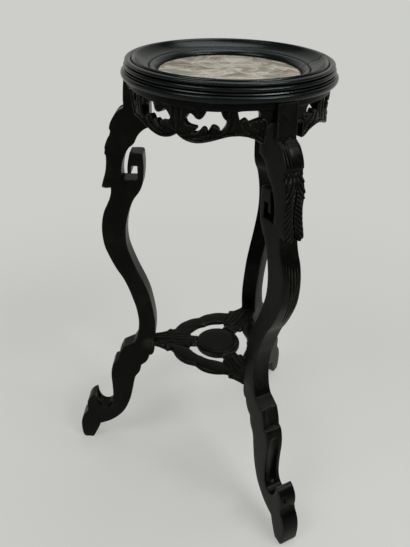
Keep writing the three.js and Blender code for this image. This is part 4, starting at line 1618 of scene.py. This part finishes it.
@dataclass
class StretcherArm:
    """A leaf-carved arm with a strap to each neighbour and a tongue to the disc."""

    top: float = 286.5
    thick: float = 9.7
    shoulder: float = 130.2
    disc_radius: float = 44.9
    shoulder_half: float = 17.8
    shoulder_taper: float = 0.1
    tongue_half: float = 14.8
    run_past: float = 12.0
    step: float = 1.3
    back_step: float = 5.0
    face_rings: tuple[float, ...] = (0.5, 1.2, 2.2)
    edge_rows: tuple[float, float] = (0.35, 0.7)
    grain_step: float = 400.0
    arris: float = 3.2
    edge: tuple[Run, ...] = (
        ((130.2, 17.8), (123, 20.2), (115, 24), (108, 28), (104.4, 31.8), (101.4, 33)),
        ((101.4, 33), (98, 31.4), (93.6, 30.4)),
    )
    strap_outer: Run = ((97, 38.4), (97, 32), (96.6, 25.4), (95.5, 18.6), (93.3, 12), (90, 6),
                        (86.8, 0))
    strap_inner: Run = ((59.5, 0), (61, 6), (62.2, 13), (62.6, 21), (63, 29), (64.6, 35.4),
                        (68, 41.2))
    leaf_tip: Run = ((65.4, 22.8), (61, 22.2), (57.4, 20.6), (56.2, 15.8), (50, 15))
    relief: Relief = field(default_factory=arm_relief)

    @staticmethod
    def across_strap(run: Run) -> np.ndarray:
        """A strap edge from radius and degrees off the strap's middle, in plan."""
        line = np.asarray(run, float)
        angle = np.radians(LEG_PITCH / 2 - line[:, 1])
        return np.column_stack([line[:, 0] * np.cos(angle), line[:, 0] * np.sin(angle)])

    def loop(self, spread: float = 0.0) -> np.ndarray:
        """The plan outline.

        Args:
            spread: How many degrees the straps run past their joints.

        Returns:
            The outline, anticlockwise.
        """
        outer, inner = self.strap_outer, self.strap_inner
        if spread:
            outer = (*outer, *((r, -a) for r, a in outer[-2:-4:-1]))
            inner = (*((r, -a) for r, a in inner[2:0:-1]), *inner)
        start = self.shoulder + spread
        shoulder = ((start, 0), (start, self.shoulder_half - spread * self.shoulder_taper))
        joint = self.across_strap((outer[-1], inner[0]))
        runs = (shoulder, *self.edge, self.across_strap(outer), joint, self.across_strap(inner),
                self.leaf_tip)
        line = closed_line(runs, (2.0, 1.2, 1.2, 1.2, 2.0, 1.2, 1.2))
        half = np.vstack([line, self.disc_side()])
        other = half[1:-1] * (1, -1)
        return wound(np.vstack([half, other[::-1]]), True)

    def disc_side(self) -> np.ndarray:
        """The hollow end that fits the disc, from its corner to the middle."""
        y = np.linspace(self.tongue_half, 0, 12)
        return np.column_stack([np.sqrt(self.disc_radius**2 - y**2), y])

    def form(self) -> Shell:
        """The arm with its carving, about angle zero."""
        loops = [self.loop()]
        face = sheet_of(loops, self.step, self.face_rings)
        free = [self.loop(self.run_past)]
        level = self.relief.lift(face[0]) + rounded_edge(face[0], free, self.arris)
        return Board(loops, face, level, self.thick, self.back_step, self.edge_rows,
                     self.placed).form()

    def placed(self, points: np.ndarray, depth: np.ndarray) -> tuple[np.ndarray, None]:
        """Puts points of the plan at a depth below the face, with the grain as they lie."""
        return np.column_stack([points, self.top - depth]), None

    def build(self) -> list[bpy.types.Object]:
        """Makes the three arms."""
        form = self.form()
        return [form.turned(leg_angle(k), self.grain_step * k).build(f"carved_arm_{k + 1}")
                for k in range(LEG_COUNT)]


@dataclass
class StretcherDisc:
    """The round plate that the three arms hold."""

    top: float = 284.6
    thick: float = 12.0
    steps: int = 96
    face: tuple[float, ...] = (6, 12, 18, 24, 30)
    rim: Run = ((34.6, 0), (35.6, 0.5), (36.4, 0.1), (37.5, 0), (39.5, 0.6), (41.5, 1.4), (43, 2.2),
                (44.1, 3.0), (44.6, 4.0))
    foot: Run = ((44.6, 1.6), (44.2, 0.7), (43.2, 0), (30, 0), (15, 0))

    def build(self) -> bpy.types.Object:
        """Turns the disc, its rim measured down from the top and its foot up from below."""
        top, low = self.top, self.top - self.thick
        section = [(r, top) for r in self.face]
        section += [(r, top - drop) for r, drop in self.rim]
        section += [(r, low + rise) for r, rise in self.foot]
        return lathe("stretcher_plate", section, self.steps, top, low)


# The studio -----------------------------------------------------------------------


@dataclass(frozen=True)
class Lamp:
    """One soft lamp, by its place, what it points at, its sides in metres and its watts."""

    name: str
    place: tuple[float, float, float]
    aim: tuple[float, float, float]
    size: tuple[float, float]
    power: float

    def hang(self) -> None:
        """Adds the lamp."""
        data = bpy.data.lights.new(self.name, "AREA")
        data.shape = "RECTANGLE"
        data.size, data.size_y = self.size
        data.energy = self.power
        piece = bpy.data.objects.new(self.name, data)
        piece.location = self.place
        ahead = Vector(self.aim) - Vector(self.place)
        piece.rotation_euler = ahead.to_track_quat("-Z", "Y").to_euler()
        bpy.context.scene.collection.objects.link(piece)


@dataclass
class Studio:
    """Pale floor, soft light and the camera, in metres and degrees."""

    floor: float = -MARBLE_HEIGHT * MM
    camera_at: tuple[float, float, float] = (-0.00682, -0.93668, 0.20642)
    yaw: float = 1.434
    pitch: float = 32.051
    roll: float = -1.406
    lens: float = 37.783
    sensor: float = 36.0
    backdrop: tuple[float, float, float] = (0.62, 0.62, 0.60)
    glow: tuple[float, float, float] = (0.61, 0.615, 0.585)
    near_glow: float = 0.55
    glow_reach: tuple[float, float] = (0.35, 1.4)
    sheet_half: float = 8.0
    sheet_front: float = -6.0
    bend_at: float = 3.2
    bend: float = 1.2
    wall: float = 6.0
    sky: tuple[float, float, float] = (0.93, 0.96, 1.0)
    sky_strength: float = 0.12
    lamps: tuple[Lamp, ...] = (
        Lamp("key", (-1.5, -1.3, 2.3), (0, 0, -0.3), (1.4, 1.4), 38),
        Lamp("side", (1.7, -1.3, 2.0), (0, 0, -0.2), (1.5, 0.4), 52),
        Lamp("top", (0.5, 0.6, 2.6), (0, 0, -0.2), (2.2, 1.6), 42),
    )

    def camera(self) -> None:
        """Sets up the camera."""
        data = bpy.data.cameras.new("camera")
        data.sensor_fit = "VERTICAL"
        data.sensor_height = self.sensor
        data.lens = self.lens
        data.clip_start, data.clip_end = 0.05, 30.0
        piece = bpy.data.objects.new("camera", data)
        yaw, pitch, roll = (math.radians(a) for a in (self.yaw, self.pitch, self.roll))
        ahead = Vector((-math.sin(yaw) * math.cos(pitch), math.cos(yaw) * math.cos(pitch),
                        -math.sin(pitch)))
        right = Vector((math.cos(yaw), math.sin(yaw), 0.0))
        down = ahead.cross(right)
        x = right * math.cos(roll) + down * math.sin(roll)
        y = right * math.sin(roll) - down * math.cos(roll)
        turn = Matrix((x, y, -ahead)).transposed().to_4x4()
        piece.matrix_world = Matrix.Translation(self.camera_at) @ turn
        bpy.context.scene.collection.objects.link(piece)
        bpy.context.scene.camera = piece

    def stage(self) -> None:
        """Makes the floor and the backdrop in one bent sheet."""
        shell = Shell()
        line = [(y, 0.0) for y in (self.sheet_front, self.sheet_front / 2, 0.0, 2.0)]
        line += [(self.bend_at + self.bend * math.sin(a), self.bend * (1 - math.cos(a)))
                 for a in np.linspace(0, math.pi / 2, 16)]
        line += [(self.bend_at + self.bend, self.wall)]
        across = np.linspace(-self.sheet_half, self.sheet_half, 5)
        rows = []
        for y, z in line:
            start = shell.add(np.array([(x, y, z) for x in across]) / MM)
            rows.append(list(range(start, start + len(across))))
        for first, second in zip(rows, rows[1:]):
            shell.strip(first, second, closed=False)
        mesh = bpy.data.meshes.new("studio_floor")
        places = np.vstack(shell.points) * MM + (0, 0, self.floor)
        mesh.from_pydata(places.tolist(), [], shell.faces)
        mesh.shade_smooth()
        piece = bpy.data.objects.new("studio_floor", mesh)
        bpy.context.scene.collection.objects.link(piece)
        mesh.materials.append(self.paper())
        piece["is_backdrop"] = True

    def paper(self) -> bpy.types.Material:
        """The floor's material, pale to the eye and with the stand's shadow on it."""
        g = Graph("studio_paper")
        rays = g.node("ShaderNodeLightPath")
        camera, glossy, through = (Value(g, rays.outputs[f"Is {kind} Ray"])
                                   for kind in ("Camera", "Glossy", "Transmission"))
        place = g.node("ShaderNodeNewGeometry").outputs["Position"]
        flat = g.stretched(place, (1, 1, 0))
        length = g.node("ShaderNodeVectorMath", {"operation": "LENGTH"}, {0: flat})
        away = Value(g, length.outputs["Value"])
        share = away.ramp(*self.glow_reach) * (1 - self.near_glow) + self.near_glow
        cloth = g.node("ShaderNodeBsdfDiffuse", None, {"Color": self.backdrop})
        glow = g.node("ShaderNodeEmission", None, {"Color": self.glow, "Strength": 1.0})
        seen = (camera + glossy + through).clamped() * share
        both = g.node("ShaderNodeMixShader", None,
                      {0: seen, 1: cloth.outputs[0], 2: glow.outputs[0]})
        g.node("ShaderNodeOutputMaterial", None, {"Surface": both.outputs[0]})
        return g.material

    def light(self) -> None:
        """Adds the lamps, and the surrounding light, which the camera sees as pale as the floor."""
        for lamp in self.lamps:
            lamp.hang()
        world = bpy.data.worlds.new("studio")
        bpy.context.scene.world = world
        world.use_nodes = True
        nodes, links = world.node_tree.nodes, world.node_tree.links
        around = nodes["Background"]
        around.inputs["Color"].default_value = (*self.sky, 1.0)
        around.inputs["Strength"].default_value = self.sky_strength
        seen = nodes.new("ShaderNodeBackground")
        seen.inputs["Color"].default_value = (*self.glow, 1.0)
        both = nodes.new("ShaderNodeMixShader")
        links.new(nodes.new("ShaderNodeLightPath").outputs["Is Camera Ray"], both.inputs[0])
        links.new(around.outputs[0], both.inputs[1])
        links.new(seen.outputs[0], both.inputs[2])
        links.new(both.outputs[0], nodes["World Output"].inputs["Surface"])

    def build(self) -> None:
        """Sets up everything that isn't part of the stand."""
        self.camera()
        self.stage()
        self.light()
        bpy.context.scene.view_settings.view_transform = "Standard"


# Assembly -------------------------------------------------------------------------


@dataclass
class Stand:
    """The whole stand: its pieces, their finishes and what they stand for."""

    carved: bpy.types.Material
    polished: bpy.types.Material
    marble: bpy.types.Material

    def settle(self, piece: bpy.types.Object, node: str, body: str = "stand",
               finish: bpy.types.Material | None = None) -> None:
        """Dresses a piece and ties it to the frame.

        Args:
            piece: The piece.
            node: The frame's node that it stands for.
            body: The body that it moves with.
            finish: Its material, where it isn't that of the carved wood.
        """
        piece.data.materials.append(finish or self.carved)
        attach(piece, body)
        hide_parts(node)
        LOG.info("%s: %d faces", piece.name, len(piece.data.polygons))

    def build(self) -> None:
        """Builds every piece in order."""
        self.settle(MarblePanel().build(), "marble_top", "marble", self.marble)
        frame = SweptRing("frame_ring", FRAME_SECTION, FRAME_SCARF, 0.0, cracks=(1.0, 0.12, 0.12))
        for i, piece in enumerate(frame.build()):
            self.settle(piece, f"top_ring_{i + 1}", finish=self.polished)
        torus = SweptRing("torus_band", TORUS_SECTION, TORUS_SCARF, FIRST_LEG)
        for i, piece in enumerate(torus.build()):
            self.settle(piece, f"torus_moulding_{i + 1}", finish=self.polished)
        for node, made in (("apron", Apron()), ("leg", Leg()), ("stretcher_arm", StretcherArm())):
            for k, piece in enumerate(made.build()):
                self.settle(piece, f"{node}_{k + 1}")
        self.settle(StretcherDisc().build(), "stretcher_disc")


def finish_node(name: str, material: bpy.types.Material) -> None:
    """Gives a node of the frame its finish."""
    piece = bpy.data.objects[name]
    piece.data.materials.clear()
    piece.data.materials.append(material)
    LOG.info("%s: finished", name)


def corners() -> list[list[float]]:
    """The whole object's lowest and highest corners, as plain numbers."""
    return [[float(v) for v in corner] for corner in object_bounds()]


def main() -> None:
    """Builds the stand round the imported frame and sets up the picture."""
    logging.basicConfig(level=logging.INFO, format="%(name)s: %(message)s")
    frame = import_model()
    LOG.info("frame: %d nodes", len(frame["nodes"]))
    Stand(BlackWood().make(), POLISHED_WOOD.make(), Marble().make()).build()
    plain = PlainWood().make()
    pegs = PEG_WOOD.make()
    for name in ("bearer_1", "bearer_2", "ring_key_1", "ring_key_2", "ring_key_3"):
        finish_node(name, plain)
    for k in range(LEG_COUNT):
        finish_node(f"tenon_peg_{k + 1}", pegs)
    Studio().build()


if __name__ == "__main__":
    main()
